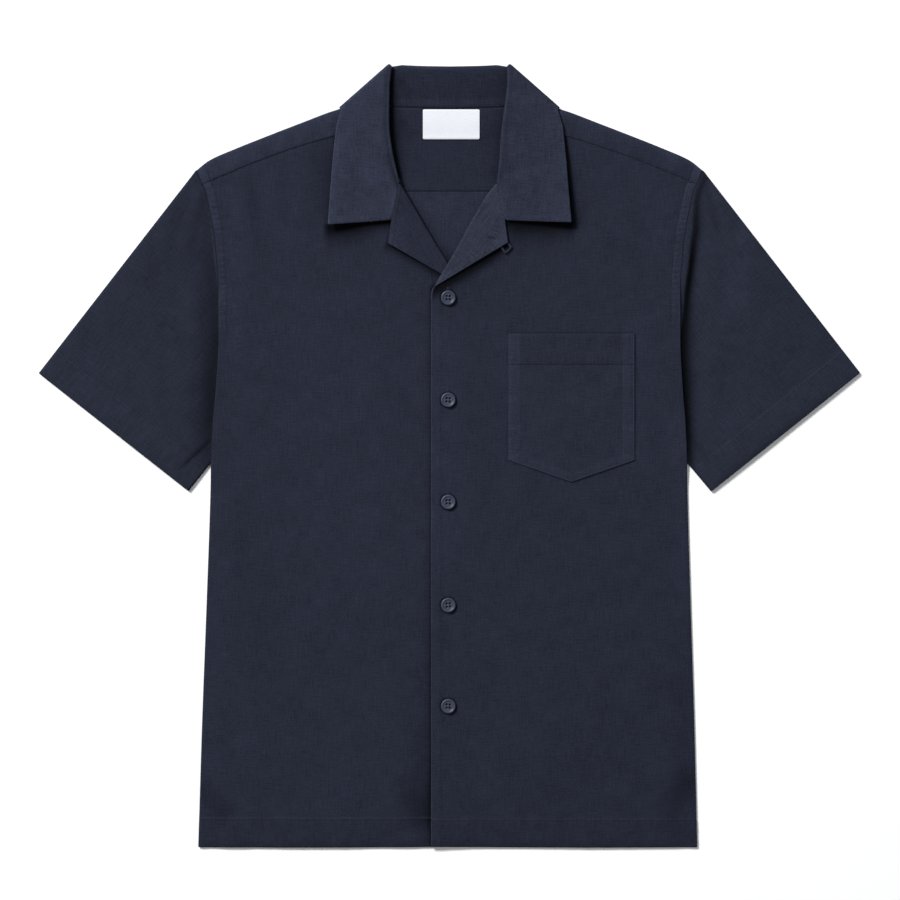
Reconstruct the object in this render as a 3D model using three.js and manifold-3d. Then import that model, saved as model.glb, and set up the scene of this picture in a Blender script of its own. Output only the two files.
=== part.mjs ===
// A short-sleeved linen shirt with a notched camp collar, laid flat on its back with its buttons up.
// Millimetres. X runs across the shirt, Y from the hem to the collar, Z up from the surface it lies on.
// "Right" and "left" are the wearer's, so the right half has negative X. Tables give X outwards from
// the middle of the shirt and Y upwards from the hem, and every height is that of the cloth's middle.

import * as THREE from 'three';
import { mergeVertices } from 'three/addons/utils/BufferGeometryUtils.js';
import Module from 'manifold-3d';

const wasm = await Module();
wasm.setup();

// Cloth and layers
const CLOTH = 1.0;
const GAP = 0.3;
const SIDE_GAP = 0.6;
const NECK_GAP = 0.8;
const SLACK = 0.1;
const LAYER = CLOTH + GAP;
const FIRST = CLOTH / 2;
const ROLL = LAYER;
const ROLL_REACH = ROLL + CLOTH / 2;
const ROLL_CLEAR = 2.57;
const ROLL_STEPS = 4;
const BAND = 0.3;

// Lengths of the shirt
const LENGTH = 764.5;
const YOKE_SEAM = 640.6;
const HEM_DEPTH = 26.5;
const CUFF_DEPTH = 27.5;
const ARMHOLE_BAND = 8.5;
const FRONT_EDGE = -17.1;
const BREAK = 545.3;
const GORGE = 648.6;
const UNDERARM = 375.4;
const LEAN = 1.7;
const LEAN_FROM = 500;

// Half the width of the body: side seam up to the underarm, then the armhole, then the shoulder point
const bodyRows = [
  { y: 0, half: 243.3 },
  { y: 121, half: 240 },
  { y: 238, half: 236 },
  { y: 339, half: 232.8 },
  { y: 376, half: 232 },
  { y: 419, half: 230 },
  { y: 441, half: 228 },
  { y: 500, half: 225 },
  { y: 545, half: 225 },
  { y: 571.5, half: 226.7 },
  { y: 593.5, half: 228.7 },
  { y: 624, half: 234 },
  { y: 641, half: 238 },
  { y: 651, half: 242.6 },
  { y: 661, half: 247.2 },
];

// The shoulder, where the yoke folds over from the back to the front
const shoulderRows = [
  { x: 72.6, y: 734 },
  { x: 107.4, y: 720.9 },
  { x: 119.4, y: 717 },
  { x: 148.7, y: 705.9 },
  { x: 178.9, y: 694.2 },
  { x: 208.2, y: 682.5 },
  { x: 234.5, y: 670.8 },
  { x: 247.2, y: 661 },
];

// The yoke's rows, as shares of the way up its back, and the number of rows on its front
const YOKE_SHARES = [0, 0.35, 0.6, 0.72, 0.81, 0.9, 1];
const FLAP_STEPS = 3;

// The neck seam on the back, up to the neck end of the shoulder
const backNeckRows = [
  { x: 0, y: 721 },
  { x: 54, y: 722.5 },
  { x: 64, y: 727 },
  { x: 72.6, y: 734 },
];

// The neck seam on the front, from the gorge to the neck end of the shoulder, and how high each edge lies
const frontNeckRows = [
  { y: 648.6, x: 47.5, stand: 4.9 },
  { y: 663, x: 53.3, stand: 4.7 },
  { y: 684, x: 60.3, stand: 4.5 },
  { y: 706.5, x: 66.3, stand: 4.4 },
  { y: 722, x: 69.6, stand: 4.4 },
  { y: 734, x: 72.6, stand: 4.4 },
];

// The line where each lapel rolls over, from the break to the gorge
const rollRows = [
  { y: 545.3, right: -17.1, left: -17.1 },
  { y: 570.5, right: 1.2, left: -1.2 },
  { y: 638.6, right: 42.5, left: 37.9 },
  { y: 648.6, right: 48.7, left: 46.3 },
];

// Each front, row by row from the hem to the yoke seam: the heights above the hem of its outer and inner
// ends, how far it bows upwards, and how high it lies in the middle, at the side and at the front edge.
// The front edge keeps its own height for the reach, and steps is the number of rows up to the next one.
const frontRows = [
  { outer: 0.6, inner: 1.2, bow: -0.6, middle: 2.9, side: 1.8, right: 1.8, left: 4.6, reach: 55, steps: 1 },
  { outer: 25.7, inner: 25.7, bow: 0, middle: 3, side: 1.8, right: 1.8, left: 4.7, reach: 55, steps: 1 },
  { outer: 26.7, inner: 26.7, bow: 0, middle: 3, side: 1.8, right: 1.8, left: 4.7, reach: 55, steps: 2 },
  { outer: 80, inner: 80, bow: 0, middle: 3.4, side: 1.8, right: 2, left: 4.6, reach: 45, steps: 5 },
  { outer: 350, inner: 350, bow: 0, middle: 3.4, side: 1.8, right: 2, left: 4.6, reach: 45, steps: 1 },
  { outer: 385, inner: 385, bow: 0, middle: 3.4, side: 3.6, right: 2, left: 4.6, reach: 45, steps: 3 },
  { outer: 490, inner: 490, bow: 0, middle: 3.4, side: 3.6, right: 2, left: 4.6, reach: 45, steps: 1 },
  { outer: 520, inner: 520, bow: 0, middle: 3.4, side: 3.6, right: 2.6, left: 5.4, reach: 55, steps: 1 },
  { outer: 545, inner: 545.3, bow: 0, middle: 3.4, side: 3.6, right: 3.1, left: 7, reach: 70, steps: 1 },
  { outer: 549, inner: 552, bow: 0, middle: 3.4, side: 3.6, right: 3.1, left: 7, reach: 70, steps: 1 },
  { outer: 562, inner: 575, bow: 0, middle: 3.4, side: 3.6, right: 3.1, left: 7, reach: 70, steps: 2 },
  { outer: 585, inner: 610, bow: 0.5, middle: 3.4, side: 3.6, right: 4.6, left: 6.4, reach: 60, steps: 2 },
  { outer: 610, inner: 648.6, bow: 2, middle: 3.4, side: 3.6, right: 6.2, left: 6.2, reach: 50, steps: 1 },
  { outer: 622, inner: 663, bow: 3.2, middle: 3.4, side: 3.6, right: 5.3, left: 5.3, reach: 45, steps: 1 },
  { outer: 634, inner: 684, bow: 4.4, middle: 3.4, side: 3.5, right: 4.5, left: 4.5, reach: 45, steps: 2 },
  { outer: 647.9, inner: 706.5, bow: 5.6, middle: 3.4, side: 3.3, right: 4.4, left: 4.4, reach: 45, steps: 0 },
];
const SIDE_REACH = 25;
const EDGE_REACH = 20;
const COLUMNS = 12;

// Soft folds: a ridge or a trough from one point to another, with real X on both halves
const folds = [
  { x1: -196, y1: 652, x2: -188, y2: 566, width: 10, rise: 0.7 },
  { x1: -172, y1: 662, x2: -168, y2: 572, width: 9, rise: -0.5 },
  { x1: -148, y1: 668, x2: -150, y2: 584, width: 10, rise: 0.6 },
  { x1: 168, y1: 660, x2: 176, y2: 590, width: 12, rise: 0.5 },
  { x1: -24, y1: 104, x2: -38, y2: 36, width: 12, rise: -0.5 },
  { x1: -236, y1: 66, x2: -208, y2: 40, width: 13, rise: -0.4 },
  { x1: 212, y1: 150, x2: 222, y2: 44, width: 14, rise: -0.5 },
  { x1: -197, y1: 454, x2: -84, y2: 452, width: 13, rise: -0.5 },
  { x1: -258, y1: 640, x2: -282, y2: 560, width: 13, rise: -0.6 },
  { x1: 262, y1: 636, x2: 290, y2: 566, width: 13, rise: -0.6 },
  { x1: -250, y1: 408, x2: -288, y2: 392, width: 12, rise: -0.5 },
  { x1: 252, y1: 404, x2: 286, y2: 392, width: 12, rise: -0.4 },
];

// The two halves. The points of the collar and the lapel differ by a millimetre or two
const halves = {
  right: {
    name: 'right',
    sign: -1,
    notch: { x: 56.3, y: 613.4 },
    lapelTip: { x: 59.4, y: 589.5, z: 6.6 },
    collarTip: { x: 117.4, y: 608.7, z: 7.2 },
    cuffOuter: { x: 400.9, y: 463.3 },
    cuffInner: { x: 254.5, y: 348.1 },
    facingEnd: 0.86,
    breakHeight: 4.4,
  },
  left: {
    name: 'left',
    sign: 1,
    notch: { x: 53.8, y: 612.5 },
    lapelTip: { x: 56.6, y: 590.1, z: 7.6 },
    collarTip: { x: 117.2, y: 610.6, z: 7.2 },
    cuffOuter: { x: 400.7, y: 463.6 },
    cuffInner: { x: 255.3, y: 347.6 },
    facingEnd: 0.93,
    breakHeight: 8.3,
  },
};

// The collar's half, from the middle of the back to the notch: its seam, its fold and the edge of its
// leaf. On the back it stands on its side, at the shoulder it turns, and on the front its leaf is on top.
const collarBackRows = [
  { seamX: 0, foldX: 0, foldY: 762.6, edgeX: 0, edgeY: 717.5 },
  { seamX: 27, foldX: 26, foldY: 763, edgeX: 38, edgeY: 717.8 },
  { seamX: 54, foldX: 46, foldY: 763.8, edgeX: 76, edgeY: 719 },
];
const collarShoulder = { seamX: 72.6, seamY: 734, foldX: 59.5, foldY: 764.5, edgeX: 107.4, edgeY: 722.4 };
const collarFrontRows = [
  { seamY: 722, foldX: 56.3, foldY: 744, edgeX: 109.3, edgeY: 704, edgeZ: 6.6 },
  { seamY: 706.5, foldX: 53.5, foldY: 722, edgeX: 111, edgeY: 686, edgeZ: 6.8 },
  { seamY: 684, foldX: 50.3, foldY: 697, edgeX: 112.8, edgeY: 665, edgeZ: 7 },
  { seamY: 664, foldX: 48.5, foldY: 672, edgeX: 114.6, edgeY: 640, edgeZ: 7.2 },
];
const COLLAR_TURNS = 6;
const STAND_STEPS = 3;
const LEAF_STEPS = 6;
const FOLD_CENTRE = 4.0;
const FOLD_TURN = 2.2;
const SEAM_CENTRE = 3.1;
const EDGE_CENTRE = 3.5;
const EDGE_TURN = 3.0;
const LEAF_FRONT = FOLD_CENTRE + FOLD_TURN;

// Sleeves
const SLEEVE_FOLD = 1.1;
const SLEEVE_CROWN = 1.7;
const SLEEVE_VALLEY = 0.15;

// Chest pocket on the left front
const pocket = {
  inner: 57.5,
  outer: 180.4,
  top: 501.5,
  band: 472.5,
  corner: 378.7,
  point: 357,
  puff: 0.8,
};

// Buttons, neck label and the loop under the left lapel's tip
const BUTTON_X = -1.3;
const buttonRows = [{ y: 536.3 }, { y: 436.8 }, { y: 337.4 }, { y: 236.9 }, { y: 138.5 }];
const button = { radius: 7.2, height: 2.4, rim: 2.0, dish: 1.7, hole: 0.8, spread: 1.55 };
const label = { left: -25.8, right: 29.3, bottom: 691.4, top: 720.2 };
const loopRows = [
  { x: 51.4, y: 591 },
  { x: 50.9, y: 585.6 },
  { x: 54.6, y: 581.2 },
  { x: 58.9, y: 585.4 },
  { x: 56, y: 590.2 },
  { x: 52.6, y: 593.6 },
];
const LOOP_WIDTH = 2.2;

// The facings: their rows, the steps across a lapel, and the leg that goes on behind the front
const FACING_ROWS = 9;
const LAPEL_STEPS = 6;
const LEG_TOP = 8;
const LEG_BREAK = 3;
const LEG_DROP = 0.3;

// Small mathematics
const clamp = (value) => Math.min(1, Math.max(0, value));
const lerp = (a, b, t) => a + (b - a) * t;
const ease = (t) => clamp(t) ** 2 * (3 - 2 * clamp(t));
const fade = (t) => 1 - ease(t);
const hump = (t) => Math.sin(Math.PI * clamp(t));
const vector = (x, y, z) => new THREE.Vector3(x, y, z);
const UP = vector(0, 0, 1);

// The slope of a table's curve at one of its rows, level where the column turns back
function slope(rows, key, column, i) {
  const rise = (j) => (rows[j + 1][column] - rows[j][column]) / (rows[j + 1][key] - rows[j][key]);
  if (i === 0) return rise(0);
  if (i === rows.length - 1) return rise(i - 1);
  const before = rise(i - 1);
  const after = rise(i);
  return before * after <= 0 ? 0 : (2 * before * after) / (before + after);
}

// One column of a table, read on a smooth curve at a value of its key column
function read(rows, key, column, at) {
  const value = Math.min(rows[rows.length - 1][key], Math.max(rows[0][key], at));
  const i = Math.min(rows.length - 2, rows.filter((row) => row[key] <= value).length - 1);
  const span = rows[i + 1][key] - rows[i][key];
  const t = (value - rows[i][key]) / span;
  const start = slope(rows, key, column, i) * span;
  const end = slope(rows, key, column, i + 1) * span;
  return (
    (2 * t ** 3 - 3 * t ** 2 + 1) * rows[i][column] +
    (t ** 3 - 2 * t ** 2 + t) * start +
    (3 * t ** 2 - 2 * t ** 3) * rows[i + 1][column] +
    (t ** 3 - t ** 2) * end
  );
}

// A grid of points in the middle of the cloth becomes one closed wall. A point may be null where there
// is no cloth, and its extra thickens the side that the grid's normals point to.
function wall(grid, { ring = false, flip = false } = {}) {
  const points = [];
  const places = grid.map((row) => row.map((point) => (point ? points.push(point) - 1 : -1)));
  const triangles = [];
  for (let r = 0; r + 1 < grid.length; r += 1) {
    const width = grid[r].length;
    for (let c = 0; c + (ring ? 0 : 1) < width; c += 1) {
      const a = places[r][c];
      const b = places[r][(c + 1) % width];
      const d = places[r + 1][c];
      const e = places[r + 1][(c + 1) % width];
      if (Math.min(a, b, d, e) < 0) continue;
      triangles.push(flip ? [a, e, b] : [a, b, e], flip ? [a, d, e] : [a, e, d]);
    }
  }

  const normals = points.map(() => vector(0, 0, 0));
  const edges = new Map();
  for (const [a, b, c] of triangles) {
    const side1 = points[b].clone().sub(points[a]);
    const side2 = points[c].clone().sub(points[a]);
    const normal = side1.cross(side2);
    for (const i of [a, b, c]) normals[i].add(normal);
    for (const [i, j] of [[a, b], [b, c], [c, a]]) {
      if (!edges.delete(`${j} ${i}`)) edges.set(`${i} ${j}`, [i, j]);
    }
  }

  const count = points.length;
  const position = new Float32Array(count * 6);
  points.forEach((point, i) => {
    const normal = normals[i].normalize();
    const outer = point.clone().addScaledVector(normal, CLOTH / 2 + (point.extra ?? 0));
    const inner = point.clone().addScaledVector(normal, -CLOTH / 2);
    outer.toArray(position, i * 3);
    inner.toArray(position, (count + i) * 3);
  });
  const index = [];
  for (const [a, b, c] of triangles) index.push(a, b, c, count + a, count + c, count + b);
  for (const [i, j] of edges.values()) index.push(j, i, count + i, j, count + i, count + j);
  const geometry = new THREE.BufferGeometry();
  geometry.setAttribute('position', new THREE.BufferAttribute(position, 3));
  geometry.setIndex(index);
  geometry.computeVertexNormals();
  return geometry;
}

// Materials
const linen = () => new THREE.MeshStandardMaterial({ color: 0x292d39, roughness: 0.92, metalness: 0 });
const facedLinen = () => new THREE.MeshStandardMaterial({ color: 0x303544, roughness: 0.92, metalness: 0 });
const buttonPlastic = () => new THREE.MeshStandardMaterial({ color: 0x333845, roughness: 0.4, metalness: 0 });
const labelSatin = () => new THREE.MeshStandardMaterial({ color: 0xebeef5, roughness: 0.6, metalness: 0 });

const shirt = new THREE.Group();
shirt.name = 'linen_shirt';

function piece(name, geometry, material, parent = shirt) {
  const mesh = new THREE.Mesh(geometry, material);
  mesh.name = name;
  parent.add(mesh);
  return mesh;
}

// The outline of the body at a height above the hem
function bodyEdge(sign, y) {
  const lean = LEAN * clamp(1 - y / LEAN_FROM);
  return sign * read(bodyRows, 'y', 'half', y) - lean;
}

// The front edge of a half: placket, then roll line, then neck seam, outwards from the middle
function innerEdge(half, y) {
  if (y <= BREAK) return FRONT_EDGE;
  if (y <= GORGE) {
    return read(rollRows, 'y', half.name, y) + ROLL_CLEAR * clamp((y - BREAK) / 6);
  }
  return read(frontNeckRows, 'y', 'x', y);
}

// How much the soft folds raise or lower the top layer at a place
function foldRise(x, y) {
  let rise = 0;
  for (const fold of folds) {
    const dx = fold.x2 - fold.x1;
    const dy = fold.y2 - fold.y1;
    const t = clamp(((x - fold.x1) * dx + (y - fold.y1) * dy) / (dx * dx + dy * dy));
    const distance = Math.hypot(x - fold.x1 - dx * t, y - fold.y1 - dy * t);
    rise += fold.rise * Math.exp(-((distance / fold.width) ** 2));
  }
  return rise;
}

// How high a front lies at a point of a row: the middle's height, blended into the side's and the edge's
function frontHeight(half, row, fromSide, fromInner, x, y) {
  const side = (row.side - row.middle) * fade(fromSide / SIDE_REACH);
  const inner = (row[half.name] - row.middle) * fade(fromInner / row.reach);
  const soft = ease(fromSide / SIDE_REACH) * ease((fromInner - EDGE_REACH) / SIDE_REACH);
  return row.middle + side + inner + foldRise(x, y) * soft;
}

// A row of a front at a share of the way between two rows of its table
function frontRow(i, share) {
  const row = {};
  const next = frontRows[Math.min(i + 1, frontRows.length - 1)];
  for (const column of Object.keys(frontRows[i])) row[column] = lerp(frontRows[i][column], next[column], share);
  return row;
}

// A front's height at a place below the break, where its rows are level
function frontHeightAt(half, x, y) {
  const i = frontRows.filter((row) => row.outer <= y).length - 1;
  const share = (y - frontRows[i].outer) / (frontRows[i + 1].outer - frontRows[i].outer);
  const fromSide = Math.abs(bodyEdge(half.sign, y) - x);
  const fromInner = half.sign * x - FRONT_EDGE;
  return frontHeight(half, frontRow(i, share), fromSide, fromInner, x, y);
}

// One point of a front, at a distance along its row from the side
function frontPoint(half, row, distance, length) {
  const startX = bodyEdge(half.sign, row.outer);
  const endX = half.sign * innerEdge(half, row.inner);
  const t = distance / length;
  const x = lerp(startX, endX, t);
  const y = lerp(row.outer, row.inner, t) + row.bow * hump(t);
  return vector(x, y, frontHeight(half, row, distance, length - distance, x, y));
}

function frontLength(half, row) {
  const across = bodyEdge(half.sign, row.outer) - half.sign * innerEdge(half, row.inner);
  return Math.hypot(across, row.outer - row.inner);
}

// A front: its columns are close together at the armhole band and at the front edge
function front(half) {
  const grid = [];
  frontRows.forEach((tableRow, i) => {
    for (let step = 0; step < Math.max(1, tableRow.steps); step += 1) {
      const row = frontRow(i, tableRow.steps ? step / tableRow.steps : 0);
      const length = frontLength(half, row);
      const distances = [0, ARMHOLE_BAND - 1];
      for (let c = 0; c <= COLUMNS; c += 1) {
        distances.push(lerp(ARMHOLE_BAND, length - ARMHOLE_BAND, c / COLUMNS));
      }
      distances.push(length);
      grid.push(
        distances.map((distance) => {
          const point = frontPoint(half, row, distance, length);
          const inHem = row.outer < HEM_DEPTH;
          const inBand = row.outer > UNDERARM && distance < ARMHOLE_BAND;
          point.extra = inHem || inBand ? BAND : 0;
          return point;
        }),
      );
    }
  });
  return wall(grid, { flip: half.sign > 0 });
}

// The back lies flat on the surface, from the hem to the yoke seam
function back() {
  const heights = [1.6, 60, 121, 180, 238, 290, 339, 376, 419, 441, 470, 500, 535, 571.5, 600, 624, YOKE_SEAM - GAP];
  const columns = 8;
  const grid = heights.map((y) => {
    const row = [];
    for (let c = 0; c <= columns; c += 1) {
      row.push(vector(lerp(bodyEdge(-1, y), bodyEdge(1, y), c / columns), y, FIRST));
    }
    return row;
  });
  return wall(grid);
}

// The back of the yoke rises over the collar's leaf, which lies behind it
function yokeHeight(x, y) {
  return FIRST + LAYER * ease((y - 688) / 24) * fade((Math.abs(x) - 112) / 25);
}

// One column of the yoke: up the back and, outside the neck, over the shoulder and down to the front seam
function yokeColumn(x) {
  const column = [];
  const neck = shoulderRows[0].x;
  const end = shoulderRows[shoulderRows.length - 1].x;
  const sign = Math.sign(x);
  const away = Math.abs(x);
  const beside = away < neck;
  const share = beside ? 0 : (away - neck) / (end - neck);
  const seamX = beside ? away : lerp(neck, bodyEdge(1, YOKE_SEAM), share);
  const topY = beside ? read(backNeckRows, 'x', 'y', away) : read(shoulderRows, 'x', 'y', away);
  const step = 1;
  const tilt = read(shoulderRows, 'x', 'y', away + step) - read(shoulderRows, 'x', 'y', away - step);
  const run = Math.min(end, away + step) - Math.max(neck, away - step);
  const out = beside ? vector(0, 0, 0) : vector(-tilt, run, 0).normalize();
  const top = vector(away, topY, 0).addScaledVector(out, -ROLL_REACH);
  for (const t of YOKE_SHARES) {
    const y = lerp(YOKE_SEAM, top.y, t);
    const across = lerp(seamX, top.x, t);
    column.push(vector(sign * across, y, yokeHeight(across, y)));
  }
  if (beside) {
    for (let i = 0; i < ROLL_STEPS + FLAP_STEPS; i += 1) column.push(null);
    return column;
  }

  const centre = yokeHeight(top.x, top.y) + ROLL;
  for (let i = 1; i <= ROLL_STEPS; i += 1) {
    const angle = lerp(-Math.PI / 2, Math.PI / 2, i / ROLL_STEPS);
    const reach = ROLL * Math.cos(angle);
    const across = top.x + out.x * reach;
    column.push(vector(sign * across, top.y + out.y * reach, centre + ROLL * Math.sin(angle)));
  }
  const half = sign < 0 ? halves.right : halves.left;
  const lastRow = frontRow(frontRows.length - 1, 0);
  const length = frontLength(half, lastRow);
  const seam = frontPoint(half, lastRow, length * (1 - share), length);
  seam.y += SIDE_GAP;
  const start = vector(sign * top.x, top.y, centre + ROLL);
  for (let i = 1; i <= FLAP_STEPS; i += 1) {
    const point = start.clone().lerp(seam, i / FLAP_STEPS);
    point.z = lerp(start.z, seam.z, ease(i / FLAP_STEPS));
    column.push(point);
  }
  return column;
}

function yoke() {
  const beside = [0, 27, 54, 60, 66];
  const shoulder = [72.6, 84, 96, 107.4, 119.4, 134, 148.7, 178.9, 208.2, 234.5, 247.2];
  const outwards = [...beside, ...shoulder];
  const columns = [...outwards.slice(1).reverse().map((x) => -x), ...outwards];
  const grid = columns.map((x) => yokeColumn(x));
  return wall(grid, { flip: true });
}

// A sleeve is a flattened tube. Its armhole end follows the body's edge, and its rows run to the cuff
function sleevePlace(half, around, along) {
  const y = lerp(shoulderRows[shoulderRows.length - 1].y, UNDERARM, around);
  const armhole = vector(bodyEdge(half.sign, y) + half.sign * SIDE_GAP, y, 0);
  const cuff = vector(
    half.sign * lerp(half.cuffOuter.x, half.cuffInner.x, around),
    lerp(half.cuffOuter.y, half.cuffInner.y, around),
    0,
  );
  const length = armhole.distanceTo(cuff);
  const beforeCuff = along.cuff ?? lerp(length, CUFF_DEPTH, along.share);
  return armhole.lerp(cuff, 1 - beforeCuff / length);
}

function sleeveRing(half, along, crown) {
  const topPlaces = [0.02, 0.06, 0.13, 0.22, 0.33, 0.45, 0.57, 0.69, 0.8, 0.9, 0.97];
  const bottomPlaces = [0.97, 0.8, 0.5, 0.2, 0.02];
  const inset = SLEEVE_FOLD + CLOTH / 2;
  const ends = [0, 1].map((around) => {
    const end = sleevePlace(half, around, along);
    const before = sleevePlace(half, Math.abs(around - 0.03), along);
    const out = end.clone().sub(before).normalize();
    return { centre: end.clone().addScaledVector(out, -inset), out };
  });
  const point = (around, onTop) => {
    const place = sleevePlace(half, around, along);
    const soft = ease(around / 0.12) * ease((1 - around) / 0.08) * ease((crown - SLEEVE_VALLEY) / 0.6);
    const rise = crown * hump(around) ** 0.7 + foldRise(place.x, place.y) * soft;
    place.z = onTop ? FIRST + 2 * SLEEVE_FOLD + rise : FIRST;
    return place;
  };
  const turn = (end, from) => {
    const points = [];
    for (let i = 0; i <= 4; i += 1) {
      const angle = from * (Math.PI / 2 - (Math.PI * i) / 4);
      const place = end.centre.clone().addScaledVector(end.out, SLEEVE_FOLD * Math.cos(angle));
      place.z = FIRST + SLEEVE_FOLD + SLEEVE_FOLD * Math.sin(angle);
      points.push(place);
    }
    return points;
  };
  const top = topPlaces.map((around) => point(around, true));
  const bottom = bottomPlaces.map((around) => point(around, false));
  const ring = [...top, ...turn(ends[1], 1), ...bottom, ...turn(ends[0], -1)];
  const inHem = along.cuff !== undefined && along.cuff < CUFF_DEPTH;
  for (const place of ring) place.extra = inHem && place.z > CLOTH ? BAND : 0;
  return ring;
}

function sleeve(half) {
  const stations = [
    { share: 0, crown: SLEEVE_VALLEY },
    { share: 0.06, crown: 0.5 },
    { share: 0.16, crown: 1.2 },
    { share: 0.35, crown: SLEEVE_CROWN },
    { share: 0.6, crown: SLEEVE_CROWN },
    { share: 0.85, crown: 1.4 },
    { share: 1, crown: 1.2 },
    { cuff: CUFF_DEPTH - 0.8, crown: 1.2 },
    { cuff: CUFF_DEPTH / 2, crown: 1 },
    { cuff: 0, crown: 0.8 },
  ];
  const grid = stations.map((station) => sleeveRing(half, station, station.crown));
  return wall(grid, { ring: true, flip: half.sign < 0 });
}

// A section of the collar: up the stand, round the fold, and along the leaf to its edge
function collarSection({ seam, fold, edge, over, bend }) {
  const points = [];
  const under = fold.clone().addScaledVector(over, -ROLL);
  for (let i = 0; i < STAND_STEPS; i += 1) points.push(seam.clone().lerp(under, i / STAND_STEPS));
  const towards = fold.clone().sub(bend ?? edge);
  towards.addScaledVector(over, -towards.dot(over)).normalize();
  for (let i = 0; i <= ROLL_STEPS; i += 1) {
    const angle = (Math.PI * i) / ROLL_STEPS;
    const point = fold.clone().addScaledVector(over, -ROLL * Math.cos(angle));
    points.push(point.addScaledVector(towards, ROLL * Math.sin(angle)));
  }
  const start = points[points.length - 1];
  for (let i = 1; i <= LEAF_STEPS; i += 1) {
    const t = i / LEAF_STEPS;
    const bendAt = 1 / 3;
    if (!bend) points.push(start.clone().lerp(edge, t));
    else if (t <= bendAt) points.push(start.clone().lerp(bend, t / bendAt));
    else points.push(bend.clone().lerp(edge, (t - bendAt) / (1 - bendAt)));
  }
  return points;
}

// Moves a place on the outline of the fold towards the leaf, so that the roll's outside is on the outline
function insetFold(foldX, foldY, edgeX, edgeY, inset) {
  const towards = vector(edgeX - foldX, edgeY - foldY, 0).normalize();
  return vector(foldX, foldY, 0).addScaledVector(towards, inset);
}

function collarHalf(half) {
  const sections = [];
  for (const row of collarBackRows) {
    const fold = insetFold(row.foldX, row.foldY, row.edgeX, row.edgeY, ROLL_REACH);
    const seamY = read(backNeckRows, 'x', 'y', row.seamX) + SIDE_GAP;
    sections.push({
      seam: vector(row.seamX, seamY, yokeHeight(row.seamX, seamY)),
      fold: vector(fold.x, fold.y, FOLD_CENTRE - FOLD_TURN),
      edge: vector(row.edgeX, row.edgeY, FIRST),
      over: vector(0, 0, -1),
    });
  }

  const { seamX, seamY, foldX, foldY, edgeX, edgeY } = collarShoulder;
  const ridge = vector(edgeX - foldX, edgeY - foldY, 0).normalize();
  const out = vector(-ridge.y, ridge.x, 0);
  const seamCentre = vector(seamX, seamY, SEAM_CENTRE)
    .addScaledVector(out, -ROLL_REACH)
    .addScaledVector(ridge, -NECK_GAP);
  const foldCentre = vector(foldX, foldY, FOLD_CENTRE)
    .addScaledVector(out, -FOLD_TURN - ROLL_REACH)
    .addScaledVector(ridge, ROLL_REACH - 1);
  const edgeCentre = vector(edgeX, edgeY, EDGE_CENTRE)
    .addScaledVector(out, -EDGE_TURN - CLOTH / 2);
  for (let i = 0; i <= COLLAR_TURNS; i += 1) {
    const angle = lerp(-Math.PI / 2, Math.PI / 2, i / COLLAR_TURNS);
    const over = out.clone().multiplyScalar(Math.cos(angle)).addScaledVector(UP, Math.sin(angle));
    sections.push({
      seam: seamCentre.clone().addScaledVector(over, ROLL),
      fold: foldCentre.clone().addScaledVector(over, FOLD_TURN),
      edge: edgeCentre.clone().addScaledVector(over, EDGE_TURN),
      over,
    });
  }

  for (const row of collarFrontRows) {
    const fold = insetFold(row.foldX, row.foldY, row.edgeX, row.edgeY, ROLL_REACH);
    const seam = read(frontNeckRows, 'y', 'x', row.seamY) - NECK_GAP;
    sections.push({
      seam: vector(seam, row.seamY, read(frontNeckRows, 'y', 'stand', row.seamY)),
      fold: vector(fold.x, fold.y, LEAF_FRONT),
      edge: vector(row.edgeX, row.edgeY, row.edgeZ),
      over: UP.clone(),
    });
  }

  const gorgeX = read(rollRows, 'y', half.name, GORGE);
  const end = insetFold(gorgeX, GORGE + 1, half.notch.x + 8, half.notch.y, ROLL_REACH);
  sections.push({
    seam: vector(end.x + 1.2, end.y + 1.6, frontNeckRows[0].stand),
    fold: vector(end.x, end.y, LEAF_FRONT),
    bend: vector(half.notch.x + 0.2, half.notch.y + 0.4, LEAF_FRONT + ROLL - 0.2),
    edge: vector(half.collarTip.x, half.collarTip.y, half.collarTip.z),
    over: UP.clone(),
  });
  return sections.map((section) =>
    collarSection(section).map((point) => vector(half.sign * point.x, point.y, point.z)),
  );
}

function collar() {
  const right = collarHalf(halves.right).reverse();
  const left = collarHalf(halves.left);
  return wall([...right, ...left.slice(1)]);
}

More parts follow.
